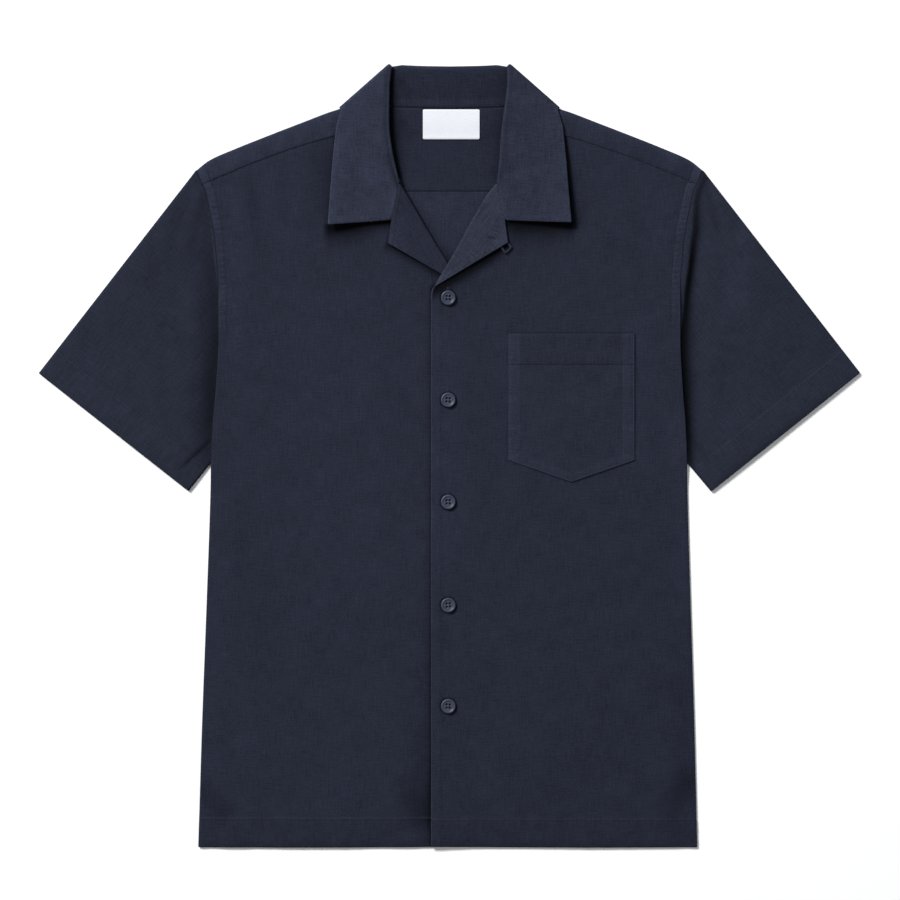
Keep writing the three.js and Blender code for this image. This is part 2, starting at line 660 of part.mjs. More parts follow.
// A facing turns round the front's edge along the roll line and lies on the front as the lapel
function facing(half) {
  const grid = [];
  for (let i = 0; i <= FACING_ROWS; i += 1) {
    const along = half.facingEnd * (i / FACING_ROWS);
    const y = lerp(GORGE - 1.2, BREAK, along);
    const step = 4;
    const slant = read(rollRows, 'y', half.name, y + step / 2) - read(rollRows, 'y', half.name, y - step / 2);
    const span = Math.min(y + step / 2, GORGE) - Math.max(y - step / 2, BREAK);
    const out = vector(span, -slant, 0).normalize();
    const centre = vector(read(rollRows, 'y', half.name, y), y, 0).addScaledVector(out, ROLL_REACH);
    centre.z = rollHeight(half, y);
    const leg = lerp(LEG_TOP, LEG_BREAK, along);
    const drop = LEG_DROP * (leg / LEG_TOP) ** 2;
    const row = [centre.clone().addScaledVector(out, leg), centre.clone().addScaledVector(out, leg / 2)];
    row[0].z -= ROLL + drop;
    row[1].z -= ROLL + drop / 3;
    for (let a = 0; a <= ROLL_STEPS; a += 1) {
      const angle = (Math.PI * a) / ROLL_STEPS;
      const point = centre.clone().addScaledVector(out, -ROLL * Math.sin(angle));
      point.z -= ROLL * Math.cos(angle);
      row.push(point);
    }
    const start = row[row.length - 1];
    const outer = vector(
      lerp(half.lapelTip.x, FRONT_EDGE, along),
      lerp(half.lapelTip.y, BREAK, along),
      lerp(half.lapelTip.z, half.breakHeight, ease(along * 1.3)),
    );
    const notch = vector(half.notch.x, half.notch.y - 0.4, start.z - 0.2);
    for (let s = 1; s <= LAPEL_STEPS; s += 1) {
      const t = s / LAPEL_STEPS;
      const notchAt = 2 / 3;
      if (i > 0) row.push(start.clone().lerp(outer, t));
      else if (t <= notchAt) row.push(start.clone().lerp(notch, t / notchAt));
      else row.push(notch.clone().lerp(outer, (t - notchAt) / (1 - notchAt)));
    }
    grid.push(row.map((point) => vector(half.sign * point.x, point.y, point.z)));
  }
  return wall(grid);
}

// The height of a front's edge on the roll line
function rollHeight(half, y) {
  const i = Math.max(1, frontRows.filter((row) => row.inner <= y).length) - 1;
  const next = Math.min(i + 1, frontRows.length - 1);
  const share = next === i ? 0 : (y - frontRows[i].inner) / (frontRows[next].inner - frontRows[i].inner);
  return lerp(frontRows[i][half.name], frontRows[next][half.name], share);
}

// The chest pocket is the left front's own surface, moved out and puffed a little
function pocketPatch() {
  const rows = 7;
  const columns = 10;
  const middle = (pocket.inner + pocket.outer) / 2;
  const grid = [];
  for (let r = 0; r <= rows + 2; r += 1) {
    const row = [];
    for (let c = 0; c <= columns; c += 1) {
      const x = lerp(pocket.inner, pocket.outer, c / columns);
      const away = Math.abs(x - middle) / (pocket.outer - middle);
      const bottom = lerp(pocket.point, pocket.corner, away);
      let y = lerp(bottom, pocket.band - 0.8, r / rows);
      if (r === rows + 1) y = pocket.band;
      if (r === rows + 2) y = pocket.top;
      const height = (y - bottom) / (pocket.top - bottom);
      const puff = pocket.puff * hump(c / columns) * hump(height * 0.9);
      const point = vector(x, y, frontHeightAt(halves.left, x, y) + LAYER + puff + SLACK);
      point.extra = r > rows ? BAND : 0;
      row.push(point);
    }
    grid.push(row);
  }
  return wall(grid);
}

// The neck label lies on the inside of the yoke, below the neck seam
function neckLabel() {
  const grid = [];
  for (let r = 0; r <= 6; r += 1) {
    const y = lerp(label.bottom, label.top, r / 6);
    const row = [];
    for (let c = 0; c <= 3; c += 1) {
      const x = lerp(label.left, label.right, c / 3);
      row.push(vector(x, y, yokeHeight(x, y) + LAYER + SLACK));
    }
    grid.push(row);
  }
  return wall(grid);
}

// The loop is a narrow flat strip, caught under the left lapel's tip
function buttonLoop() {
  const path = new THREE.CatmullRomCurve3(loopRows.map((row) => vector(row.x, row.y, 0)));
  const grid = [];
  const steps = 16;
  const tip = halves.left.lapelTip;
  for (let i = 0; i <= steps; i += 1) {
    const place = path.getPointAt(i / steps);
    const along = path.getTangentAt(i / steps);
    const across = vector(-along.y, along.x, 0);
    place.z = tip.z - LAYER - SLACK;
    grid.push([-1, 0, 1].map((share) => place.clone().addScaledVector(across, (share * LOOP_WIDTH) / 2)));
  }
  return wall(grid);
}

// A solid for cutting: shared vertices merged, and faces without area left out
function solidOf(geometry) {
  const bare = geometry.index ? geometry.toNonIndexed() : geometry.clone();
  bare.deleteAttribute('normal');
  bare.deleteAttribute('uv');
  const merged = mergeVertices(bare, 1e-4);
  const corners = Array.from(merged.index.array);
  const kept = [];
  for (let i = 0; i < corners.length; i += 3) {
    const [a, b, c] = corners.slice(i, i + 3);
    if (a !== b && b !== c && c !== a) kept.push(a, b, c);
  }
  const vertProperties = new Float32Array(merged.attributes.position.array);
  return new wasm.Manifold(new wasm.Mesh({ numProp: 3, vertProperties, triVerts: new Uint32Array(kept) }));
}

function geometryOf(solid) {
  const mesh = solid.getMesh();
  const geometry = new THREE.BufferGeometry();
  geometry.setAttribute('position', new THREE.BufferAttribute(mesh.vertProperties, 3));
  geometry.setIndex(Array.from(mesh.triVerts));
  geometry.computeVertexNormals();
  return geometry;
}

// A four-hole button: a turned disc with a raised rim
function buttonDisc() {
  const { radius, height, rim, dish, hole, spread } = button;
  const profile = [
    [0, 0],
    [radius - 0.8, 0],
    [radius, height * 0.45],
    [radius - 0.5, height],
    [radius - rim + 0.4, height],
    [radius - rim - 0.4, dish],
    [0, dish],
  ];
  const disc = new THREE.LatheGeometry(profile.map(([x, y]) => new THREE.Vector2(x, y)), 20);
  disc.rotateX(Math.PI / 2);
  let solid = solidOf(disc);
  for (const [sx, sy] of [[-1, -1], [1, -1], [1, 1], [-1, 1]]) {
    const drill = new THREE.CylinderGeometry(hole, hole, height * 3, 8);
    drill.rotateX(Math.PI / 2);
    drill.translate(sx * spread, sy * spread, 0);
    solid = solid.subtract(solidOf(drill));
  }
  return geometryOf(solid);
}

// A button lies on the left front, square to the cloth under it
function placeButton(mesh, x, y) {
  const span = button.radius;
  const height = (dx, dy) => frontHeightAt(halves.left, x + dx, y + dy);
  const slopeX = (height(span, 0) - height(-span, 0)) / (2 * span);
  const slopeY = (height(0, span) - height(0, -span)) / (2 * span);
  const up = vector(-slopeX, -slopeY, 1).normalize();
  const rest = Math.max(height(0, 0), (height(span, 0) + height(-span, 0)) / 2);
  mesh.position.set(x, y, rest + CLOTH / 2 + GAP + SLACK / 2);
  mesh.quaternion.setFromUnitVectors(UP, up);
}

piece('back', back(), linen());
piece('yoke', yoke(), linen());
for (const half of [halves.right, halves.left]) {
  piece(`front_${half.name}`, front(half), linen());
  piece(`facing_${half.name}`, facing(half), facedLinen());
  piece(`sleeve_${half.name}`, sleeve(half), linen());
}
piece('collar', collar(), facedLinen());
piece('pocket', pocketPatch(), linen());
const disc = buttonDisc();
buttonRows.forEach((row, i) => placeButton(piece(`button_${i + 1}`, disc, buttonPlastic()), BUTTON_X, row.y));
piece('neck_label', neckLabel(), labelSatin());
piece('button_loop', buttonLoop(), facedLinen());

shirt.position.y = -LENGTH / 2;

export default shirt;
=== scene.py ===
import math

import bpy
import numpy as np
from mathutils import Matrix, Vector
from mathutils.bvhtree import BVHTree


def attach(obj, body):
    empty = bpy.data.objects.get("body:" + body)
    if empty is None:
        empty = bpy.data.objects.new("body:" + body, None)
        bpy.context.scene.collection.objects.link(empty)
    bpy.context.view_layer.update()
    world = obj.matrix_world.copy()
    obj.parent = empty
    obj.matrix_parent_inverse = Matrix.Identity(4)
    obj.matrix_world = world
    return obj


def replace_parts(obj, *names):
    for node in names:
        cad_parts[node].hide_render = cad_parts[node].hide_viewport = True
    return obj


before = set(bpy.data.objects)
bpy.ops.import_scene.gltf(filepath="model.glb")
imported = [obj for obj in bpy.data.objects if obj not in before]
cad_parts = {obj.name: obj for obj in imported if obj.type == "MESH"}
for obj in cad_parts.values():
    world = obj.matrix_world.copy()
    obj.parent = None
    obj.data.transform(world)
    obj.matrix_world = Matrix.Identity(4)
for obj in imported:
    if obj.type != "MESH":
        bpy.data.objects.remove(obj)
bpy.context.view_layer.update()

MM = 0.001
HEM_TO_CENTRE = 382.25
NOWHERE = np.array([np.nan, np.nan, np.nan])
UP = np.array((0, 0, 1.0))

# Cloth and layers: how high the yoke and the lowest cloth lie, what a layer adds, how far cloth turns and
# reaches where it folds over, the gap at a seam, and one ply
FIRST = 0.5
LOWEST = 0.4
LAYER = 1.3
ROLL = 1.3
ROLL_REACH = 1.8
ROLL_CLEAR = 2.57
SIDE_GAP = 0.6
PLY = 0.7

# Lengths of the shirt: the back's and the fronts' seams with the yoke and the fronts' last row below theirs,
# the hems and the topstitching, the front edge with its break and gorge, the armhole's lower end and band,
# how the body leans towards the hem, and how far a front's rounded side reaches
YOKE_SEAM = 640.6
FRONT_TOP = 647.9
FRONT_LAST_ROW = 13.9
HEM_DEPTH = 26.5
CUFF_DEPTH = 27.5
TOPSTITCH = 8.0
FRONT_EDGE = -17.8
BREAK = 545.3
GORGE = 648.6
UNDERARM = 375.4
BAND_END = 490.0
BAND_FADE = 36.0
LEAN = 1.7
LEAN_FROM = 500.0
SIDE_REACH = 25.0

body_rows = np.array([
    (0, 243.3), (121, 240), (238, 236), (339, 232.8), (376, 232), (419, 230), (441, 228), (500, 225),
    (545, 225), (571.5, 226.7), (593.5, 228.7), (624, 234), (641, 238), (651, 242.6), (661, 247.2),
])
shoulder_rows = np.array([
    (72.6, 734), (107.4, 720.9), (119.4, 717), (148.7, 705.9), (178.9, 694.2), (208.2, 682.5),
    (234.5, 670.8), (247.2, 661),
])
back_neck_rows = np.array([(0, 721), (54, 722.5), (64, 727), (72.6, 734)])
# Height above the hem, distance from the middle, and how high the neck edge lies
front_neck_rows = np.array([
    (648.6, 47.5, 4.9), (663, 53.3, 4.7), (684, 60.3, 4.5), (706.5, 66.3, 4.4), (722, 69.6, 4.4),
    (734, 72.6, 4.4),
])
# Height above the hem, and the roll line's distance from the middle on the right and the left half
roll_rows = np.array([(545.3, -17.1, -17.1), (570.5, 1.2, -1.2), (638.6, 42.5, 37.9), (648.6, 48.7, 46.3)])

# The rows of a front, with their heights above the hem at the side and at the inner end, how far they bow
# upwards, how high the cloth lies in the middle, at the side and at either front's inner end, and its reach
FRONT_COLUMNS = ("outer", "inner", "bow", "middle", "side", "right", "left", "reach")
front_rows = np.array([
    (0.6, 1.2, -0.6, 2.9, 1.8, 1.8, 4.6, 55),
    (25.7, 25.7, 0, 3, 1.8, 1.8, 4.7, 55),
    (26.7, 26.7, 0, 3, 1.8, 1.8, 4.7, 55),
    (80, 80, 0, 3.4, 1.8, 2, 4.6, 45),
    (350, 350, 0, 3.4, 1.8, 2, 4.6, 45),
    (385, 385, 0, 3.4, 3.6, 2, 4.6, 45),
    (490, 490, 0, 3.4, 3.6, 2, 4.6, 45),
    (520, 520, 0, 3.4, 3.6, 2.6, 5.4, 55),
    (545, 545.3, 0, 3.4, 3.6, 3.1, 7, 70),
    (549, 552, 0, 3.4, 3.6, 3.1, 7, 70),
    (562, 575, 0, 3.4, 3.6, 3.1, 7, 70),
    (585, 610, 0.5, 3.4, 3.6, 4.6, 6.4, 60),
    (610, 648.6, 2, 3.4, 3.6, 6.2, 6.2, 50),
    (622, 663, 3.2, 3.4, 3.6, 5.3, 5.3, 45),
    (634, 684, 4.4, 3.4, 3.5, 4.5, 4.5, 45),
    (647.9, 706.5, 5.6, 3.4, 3.3, 4.4, 4.4, 45),
])

# Soft folds: a ridge or a trough from one place to another, with its width and its rise
folds = [
    (-70, 300, -60, 120, 26, 0.3),
    (-130, 560, -118, 420, 24, 0.3),
    (100, 250, 96, 90, 28, 0.3),
    (34, 640, 60, 540, 18, 0.25),
    (-196, 652, -188, 566, 10, 0.7),
    (-172, 662, -168, 572, 9, -0.5),
    (-148, 668, -150, 584, 10, 0.6),
    (168, 660, 176, 590, 12, 0.5),
    (-24, 104, -36, 20, 12, -1.3),
    (-46, 120, -58, 40, 9, 0.3),
    (-236, 66, -208, 40, 13, -0.4),
    (212, 150, 222, 44, 14, -0.5),
    (-197, 454, -84, 452, 13, -0.5),
    (-258, 640, -282, 560, 13, -0.6),
    (262, 636, 290, 566, 13, -0.6),
    (-250, 408, -288, 392, 12, -0.5),
    (252, 404, 286, 392, 12, -0.4),
    (-222, 610, -206, 598, 4, 0.3),
    (-212, 640, -192, 622, 4, 0.28),
    (-120, 350, -70, 352, 7, -0.25),
    (60, 300, 120, 322, 16, 0.3),
    (-150, 250, -60, 232, 20, 0.25),
    (120, 236, 210, 246, 14, -0.25),
    (-205, 300, -150, 330, 16, -0.25),
    (20, 420, 44, 360, 13, -0.25),
    (-60, 160, -110, 90, 15, 0.25),
    (80, 120, 130, 60, 17, 0.3),
    (-228, 396, -206, 378, 6, -0.35),
    (226, 398, 208, 384, 6, -0.3),
    (-300, 520, -330, 440, 16, 0.35),
    (305, 500, 345, 440, 15, 0.3),
    (-270, 470, -300, 410, 9, -0.3),
    (272, 462, 298, 420, 9, -0.3),
]

# Broad places painted darker or lighter: painted shade and light about folds, edges and seams, written as the
# folds are
shades = [
    (-120, 470, -90, 300, 55, 0.06),
    (-8, 500, -4, 280, 20, 0.12),
    (222, 420, 228, 230, 13, 0.12),
    (-122, 700, -122, 630, 12, -0.17),
    (-196, 660, -190, 590, 7, -0.08),
    (-180, 655, -176, 580, 6, 0.07),
    (-163, 665, -160, 590, 6, -0.06),
    (-146, 670, -146, 600, 6, 0.04),
    (200, 640, 205, 590, 14, 0.08),
    (-210, 640, -212, 480, 9, 0.08),
    (-239, 52, -225, 34, 12, -0.23),
    (232, 64, 216, 34, 13, -0.23),
    (224, 160, 230, 60, 10, -0.09),
    (-200, 300, -185, 180, 20, -0.05),
    (150, 130, 110, 60, 45, -0.04),
    (-60, 120, -130, 60, 30, 0.04),
    (-290, 560, -250, 620, 14, -0.1),
    (-385, 480, -270, 400, 22, 0.03),
    (385, 480, 280, 390, 24, 0.03),
    (286, 600, 276, 520, 12, 0.2),
    (-340, 500, -262, 560, 20, -0.06),
    (300, 440, 262, 398, 14, 0.1),
    (-150, 454, -84, 452, 5, 0.04),
    (-197, 456, -84, 448, 6, -0.04),
    (186, 515, 186, 384, 15, 0.09),
    (-238, 640, -252, 586, 4, -0.14),
    (-246, 646, -264, 590, 4, 0.1),
    (-256, 640, -280, 570, 6, -0.06),
    (250, 650, 261, 603, 3.5, -0.14),
    (256, 648, 272, 592, 4, 0.1),
    (268, 630, 284, 570, 6, -0.06),
    (241, 374, 246, 369, 4, 0.16),
    (234, 400, 251, 382, 3, -0.16),
    (-24, 92, -46, 40, 7, -0.1),
]
# Painted shade and light along a crease at the break, and painted shade in the left lapel's buttonhole
break_shades = [(-18.5, 563, -14.4, 547, 0.9, 1), (-20, 560, -17, 549, 3.5, -0.3)]
lapel_hole_shades = [(37.4, 595.4, 43.8, 594.4, 1.1, 1)]

halves = {
    "right": {
        "sign": -1, "column": 1, "notch": (56.3, 612), "lapel_tip": (59.4, 589.5, 6.6),
        "collar_tip": (117.9, 607.5, 8.4), "cuff_outer": (400.9, 463.3), "cuff_inner": (254.5, 348.1),
        "facing_end": 0.86, "break_height": 4.4, "leaf_depth": 0.32, "leaf_reach": (3.2, 3, 3, 3, 2.5),
        "sleeve_tone": 0.975, "lapel_tip_paler": 0.45, "front_seed": 11, "sleeve_seed": 31, "lapel_seed": 101,
        "hem_seed": 16,
    },
    "left": {
        "sign": 1, "column": 2, "notch": (53.8, 611.7), "lapel_tip": (56.6, 590.1, 7.6),
        "collar_tip": (118.3, 609.6, 8.6), "cuff_outer": (400.7, 463.6), "cuff_inner": (255.3, 347.6),
        "facing_end": 0.96, "break_height": 8.3, "leaf_depth": 0.84, "leaf_reach": (8, 7, 4.6, 2, 1),
        "sleeve_tone": 1.02, "lapel_tip_paler": 0.16, "front_seed": 23, "sleeve_seed": 47, "lapel_seed": 113,
        "hem_seed": 28,
    },
}

# Where the leaf's outer edge and the two folds inside the neck lie, by height, for the shade beside them
LEAF_REACH_AT = (609, 633, 658, 698, 722)
leaf_edge_rows = np.array([
    (608.7, 117.9), (640, 115.6), (665, 113.7), (686, 111.7), (704, 109.8), (722.4, 107.4),
])
neck_fold_rows = np.array([
    (648, 49, 46.3, 5), (666, 54.2, 48.6, 6.5), (680, 57.2, 49.8, 9.4), (697, 58.2, 50.3, 8.8),
    (710, 58.2, 52.2, 8.6), (729, 58, 54.4, 6.8), (744, 58.6, 56.3, 5.8), (764, 59.5, 59.5, 5),
])

# The collar from the middle of the back to the gorge: seam, fold and the edge of the leaf
collar_back_rows = np.array([(0, 0, 762.6, 0, 717.5), (27, 26, 763, 38, 717.8), (54, 46, 763.8, 76, 719)])
collar_shoulder = (72.6, 734, 59.5, 764.5, 107.4, 722.4)
collar_front_rows = np.array([
    (722, 56.3, 744, 109.8, 704, 6.7), (706.5, 53.5, 722, 111.7, 686, 7), (684, 50.3, 697, 113.7, 665, 7.4),
    (664, 48.5, 672, 115.6, 640, 7.9),
])
# How much further out the collar folds on the wearer's right than on the left, by height
fold_lean_rows = np.array([(648, 0), (664, 5.4), (684, 7.6), (706.5, 5), (722, 1.8), (734, 0)])
FOLD_CENTRE = 4.0
FOLD_TURN = 2.2
SEAM_CENTRE = 3.1
EDGE_CENTRE = 3.5
EDGE_TURN = 3.0
LEAF_FRONT = FOLD_CENTRE + FOLD_TURN

pocket = {"inner": 57.5, "outer": 180.4, "top": 501.5, "band": 472.0, "corner": 378.2, "point": 356.7}
POCKET_MIDDLE = (pocket["inner"] + pocket["outer"]) / 2
POCKET_WIDTH = pocket["outer"] - pocket["inner"]
BUTTON_X = -1.3
button_rows = [536.3, 436.8, 337.4, 236.9, 138.5]
button_turns = [1, -3, 2, 4, -2]
label = {"left": -25.8, "right": 29.3, "bottom": 691.4, "top": 720.2}
loop_rows = [
    (50.2, 592), (49.6, 588.4), (50.2, 586.2), (54.2, 580.6), (55, 580.4), (59.6, 584.9), (59.4, 586.2),
    (56.6, 589.8), (53.4, 593.4),
]


# Small mathematics
def clamp(value):
    return np.clip(value, 0.0, 1.0)


def lerp(a, b, t):
    return a + (b - a) * t


def ease(t):
    t = clamp(t)
    return t * t * (3 - 2 * t)


def fade(t):
    return 1 - ease(t)


def hump(t):
    return np.sin(np.pi * clamp(t))


def bell(distance, width):
    return np.exp(-((distance / width) ** 2))


def unit(v):
    """A vector, or each row of them, at length one."""
    return v / np.maximum(np.linalg.norm(v, axis=-1, keepdims=True), 1e-9)


def column(rows, k, at):
    """One column of a table with straight lines between its rows."""
    return np.interp(at, rows[:, 0], rows[:, k])


def read(rows, k, at):
    """One column of a table, on a smooth curve that doesn't overshoot its rows."""
    key, value = rows[:, 0], rows[:, k]
    rise = np.diff(value) / np.diff(key)
    slope = np.zeros(len(key))
    slope[0], slope[-1] = rise[0], rise[-1]
    both = rise[:-1] * rise[1:] > 0
    total = np.where(both, rise[:-1] + rise[1:], 1)
    slope[1:-1] = np.where(both, 2 * rise[:-1] * rise[1:] / total, 0)
    at = np.clip(at, key[0], key[-1])
    i = np.clip(np.searchsorted(key, at, side="right") - 1, 0, len(key) - 2)
    span = key[i + 1] - key[i]
    t = (at - key[i]) / span
    return (
        (2 * t**3 - 3 * t**2 + 1) * value[i]
        + (t**3 - 2 * t**2 + t) * slope[i] * span
        + (3 * t**2 - 2 * t**3) * value[i + 1]
        + (t**3 - t**2) * slope[i + 1] * span
    )


def ripples(x, y, size, seed, waves=7):
    """Soft uneven ripples between about -1 and 1, of roughly one size."""
    random = np.random.default_rng(seed)
    total = 0
    for _ in range(waves):
        turn = random.uniform(0, np.pi)
        length = size * random.uniform(0.7, 1.8)
        start = random.uniform(0, 2 * np.pi)
        total = total + np.sin((x * np.cos(turn) + y * np.sin(turn)) * 2 * np.pi / length + start)
    return total / np.sqrt(waves) / 1.4


def wander(along, size, seed):
    """Uneven strength along a seam, between 0 and 1."""
    return 0.5 + 0.5 * np.clip(ripples(along, along * 0, size, seed, 5), -1, 1)


def puckers(along, size, seed):
    """Gathers across a seam, uneven in spacing and height."""
    drift = 0.35 * size * ripples(along, along * 0, size * 7, seed, 5)
    return np.sin(2 * np.pi * (along + drift) / size) * (0.35 + 0.65 * wander(along, size * 4, seed + 1))


def spots(rows, x, y):
    """The sum of a table's long soft spots: two places, a width and a strength each."""
    rise = 0
    for x1, y1, x2, y2, width, height in rows:
        dx, dy = x2 - x1, y2 - y1
        t = clamp(((x - x1) * dx + (y - y1) * dy) / (dx * dx + dy * dy))
        rise = rise + height * bell(np.hypot(x - x1 - dx * t, y - y1 - dy * t), width)
    return rise


def line_away(x, y, start, end):
    """How far a place is to the left of the walk from start to end, and its share of the way."""
    dx, dy = end[0] - start[0], end[1] - start[1]
    length = math.hypot(dx, dy)
    away = ((y - start[1]) * dx - (x - start[0]) * dy) / length
    return away, ((x - start[0]) * dx + (y - start[1]) * dy) / length**2


def cast(away, depth, reach, core=0.0, fall=1.4):
    """How much painted shadow darkens the cloth at a distance from an edge that stands over it."""
    return depth * np.exp(-((np.maximum(away - core, 0) / reach) ** fall))


def leaf_shade(side, x, y):
    """The shade of the collar's leaf and of the lapel on the front."""
    half = halves[side]
    out = half["sign"] * x
    tip, notch, lapel = half["collar_tip"], half["notch"], half["lapel_tip"]
    low, along = line_away(out, y, tip, notch)
    past = -along * math.dist(tip[:2], notch)
    if side == "right":
        reach = lerp(13.2, 7, ease((along - 0.35) / 0.5))
        core = lerp(3.6, 1.6, ease((along - 0.2) / 0.5))
    else:
        reach = lerp(11.5, 16, ease((along - 0.1) / 0.4)) - 6 * ease((along - 0.75) / 0.25)
        core = 1.6
    under = cast(low, 0.93, reach, core, 1.5) * fade(past / 8) * ease((low + 3) / 3) * fade((along - 1) * 12)
    beside = out - column(leaf_edge_rows, 1, y)
    reach = np.interp(y, LEAF_REACH_AT, half["leaf_reach"])
    outside = cast(beside, half["leaf_depth"], reach, 0, 1.5) + cast(beside, 0.08, 16)
    outside = outside * ease((beside + 3) / 3) * fade((tip[1] - y) / 7)
    lower, along = line_away(out, y, lapel, (FRONT_EDGE, BREAK))
    if side == "right":
        below = cast(lower, 0.82, 5.4, 0.8, 1.3)
    else:
        below = cast(lower, 0.92, lerp(6.5, 10.2, ease(along / 0.3)), 0, 2.8)
    below = below * fade(-along * 20) * fade((along - 1) * 7) * ease((lower + 2) / 2)
    beside, along = line_away(out, y, notch, lapel)
    tip_side = cast(beside, 0.4, 3) * fade(-along * 4) * fade((along - 1) * 6) * ease((beside + 2) / 2)
    return np.maximum.reduce([under, outside, below, tip_side])


def neck_shade(x, y):
    """The shade inside the neck, deep under the fold of the wearer's right half and light under the other."""
    right, left, reach = (column(neck_fold_rows, k, y) for k in (1, 2, 3))
    shade = np.maximum(cast(right + x, 0.86, reach, 0.9, 1.8), cast(left - x, 0.27, 11))
    shade = shade * ease((y - 646) / 14)
    beside, along = line_away(x, y, (17.1, 545.3), (-42.5, 638.6))
    opening = cast(-beside, lerp(0.62, 0.3, ease(along / 0.8)), lerp(9, 4, ease(along / 0.7)), 0, 1.2)
    return np.maximum(shade, opening * fade((y - 640) / 8))


def body_edge(sign, y):
    return sign * read(body_rows, 1, y) - LEAN * clamp(1 - y / LEAN_FROM)


def inner_edge(half, y):
    roll = read(roll_rows, half["column"], y) + ROLL_CLEAR * clamp((y - BREAK + 1.5) / 5)
    edge = np.where(y <= GORGE, roll, read(front_neck_rows, 1, y))
    return np.where(y <= BREAK - 1.5, FRONT_EDGE + 1.2 * ease((y - BREAK + 9) / 9) ** 2, edge)


# Meshes
def add_mesh(name, points, faces, material, grain=None, tone=None):
    """A mesh object from points in millimetres, with its grain as UVs and its tone as an attribute."""
    mesh = bpy.data.meshes.new(name)
    placed = (np.asarray(points, float) - (0, HEM_TO_CENTRE, 0)) * MM
    mesh.from_pydata(placed.tolist(), [], [tuple(int(i) for i in f) for f in faces])
    mesh.update()
    corners = np.empty(len(mesh.loops), np.int32)
    mesh.loops.foreach_get("vertex_index", corners)
    if grain is not None:
        layer = mesh.uv_layers.new(name="grain")
        layer.data.foreach_set("uv", (np.asarray(grain)[corners] * MM).astype(np.float32).ravel())
    if tone is not None:
        layer = mesh.attributes.new("tone", "FLOAT", "POINT")
        layer.data.foreach_set("value", np.asarray(tone, np.float32))
    mesh.polygons.foreach_set("use_smooth", np.ones(len(mesh.polygons), bool))
    mesh.materials.append(material)
    thing = bpy.data.objects.new(name, mesh)
    bpy.context.scene.collection.objects.link(thing)
    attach(thing, "root")
    return thing


def wrapped(grid):
    """A ring's grid with its first column again at the end."""
    return np.concatenate([grid, grid[:, :1]], 1)


def cloth_area(grid, ring=False):
    """Area in square metres of a grid of points in millimetres."""
    wide = wrapped(grid) if ring else grid
    cross = np.cross(wide[1:, 1:] - wide[:-1, :-1], wide[1:, :-1] - wide[:-1, 1:])
    return float(np.nansum(np.linalg.norm(cross, axis=-1)) / 2 * MM * MM)


def shell(name, grid, material, thickness=PLY, ring=False, flip=False, extra=0.0, tone=1.0, turn=0.0,
          grain=None, rim=0.85):
    """A grid of points in the middle of the cloth becomes one closed wall with rounded edges.
    extra thickens the side that faces the grid's normals, turn is the angle of the cloth's grain, and rim
    scales
    the tone on its edges: below one it paints shade along them, above one it makes them lighter."""
    there = ~np.isnan(grid[..., 0])
    count = int(there.sum())
    place = np.full(grid.shape[:2], -1)
    place[there] = np.arange(count)
    points = grid[there]
    wide = wrapped(place) if ring else place
    quads = np.stack([wide[:-1, :-1], wide[:-1, 1:], wide[1:, 1:], wide[1:, :-1]], -1).reshape(-1, 4)
    quads = quads[quads.min(1) >= 0]
    if flip:
        quads = quads[:, ::-1]
    corner = points[quads]
    facing = np.cross(corner[:, 2] - corner[:, 0], corner[:, 3] - corner[:, 1])
    normals = np.zeros_like(points)
    for k in range(4):
        np.add.at(normals, quads[:, k], facing)
    normals = unit(normals)

    edges = np.concatenate([quads[:, [k, (k + 1) % 4]] for k in range(4)])
    code = edges.min(1) * count + edges.max(1)
    _, first, times = np.unique(code, return_index=True, return_counts=True)
    i, j = edges[first[times == 1]].T
    outwards = np.cross(points[j] - points[i], normals[i] + normals[j])
    away = np.zeros_like(points)
    np.add.at(away, i, outwards)
    np.add.at(away, j, outwards)
    border = np.unique((i, j))
    away = unit(away[border])

    def over_cloth(value):
        return np.broadcast_to(np.asarray(value, float), grid.shape[:2])[there]

    half = over_cloth(thickness)[:, None] / 2
    more = over_cloth(extra)[:, None]
    side = points[border] + away * half[border] * 0.8 + normals[border] * more[border] / 2
    middle = np.full(count, -1)
    middle[border] = np.arange(len(border)) + 2 * count
    faces = np.concatenate([
        quads,
        (quads + count)[:, ::-1],
        np.stack([j, i, middle[i], middle[j]], 1),
        np.stack([middle[j], middle[i], i + count, j + count], 1),
    ])
    made = np.concatenate([points + normals * (half + more), points - normals * half, side])
    if grain is None:
        cos, sin = math.cos(turn), math.sin(turn)
        flat = np.stack([points[:, 0] * cos + points[:, 1] * sin, points[:, 1] * cos - points[:, 0] * sin], 1)
    else:
        flat = grain[there]
    value = over_cloth(tone)
    flat = np.concatenate([flat, flat, flat[border]])
    value = np.concatenate([value, value, value[border] * rim])
    return add_mesh(name, made, faces, material, flat, value)


def laid(thing, node, slot="linen", **stated):
    """Hides the model's part for the node that a piece of cloth stands for; the slot and the flat cut, area
    and other values stated are not used.
    """
    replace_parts(thing, node)
    return thing


def tree_of(*things):
    """A search tree over pieces, for laying stitches and buttons on them."""
    points, faces = [], []
    for thing in things:
        start = len(points)
        points += [tuple(v.co) for v in thing.data.vertices]
        faces += [tuple(start + i for i in p.vertices) for p in thing.data.polygons]
    return BVHTree.FromPolygons(points, faces)


def ground(tree, x, y, below=40.0):
    """The place and the normal of the cloth under a point, in millimetres."""
    start = Vector((x * MM, (y - HEM_TO_CENTRE) * MM, below * MM))
    hit, normal, _, _ = tree.ray_cast(start, Vector((0, 0, -1)))
    if hit is None:
        return None, None
    return np.array((hit.x / MM, hit.y / MM + HEM_TO_CENTRE, hit.z / MM)), np.array(normal)


def walk(path, step, start=0.0):
    """Places and directions every step along a path."""
    path = np.asarray(path, float)
    lengths = np.concatenate([[0], np.cumsum(np.linalg.norm(np.diff(path, axis=0), axis=1))])
    at = np.arange(start, lengths[-1], step)
    behind, places, ahead = (
        np.stack([np.interp(at + shift, lengths, part) for part in path.T], 1) for shift in (-0.4, 0, 0.4)
    )
    return places, unit(ahead - behind)


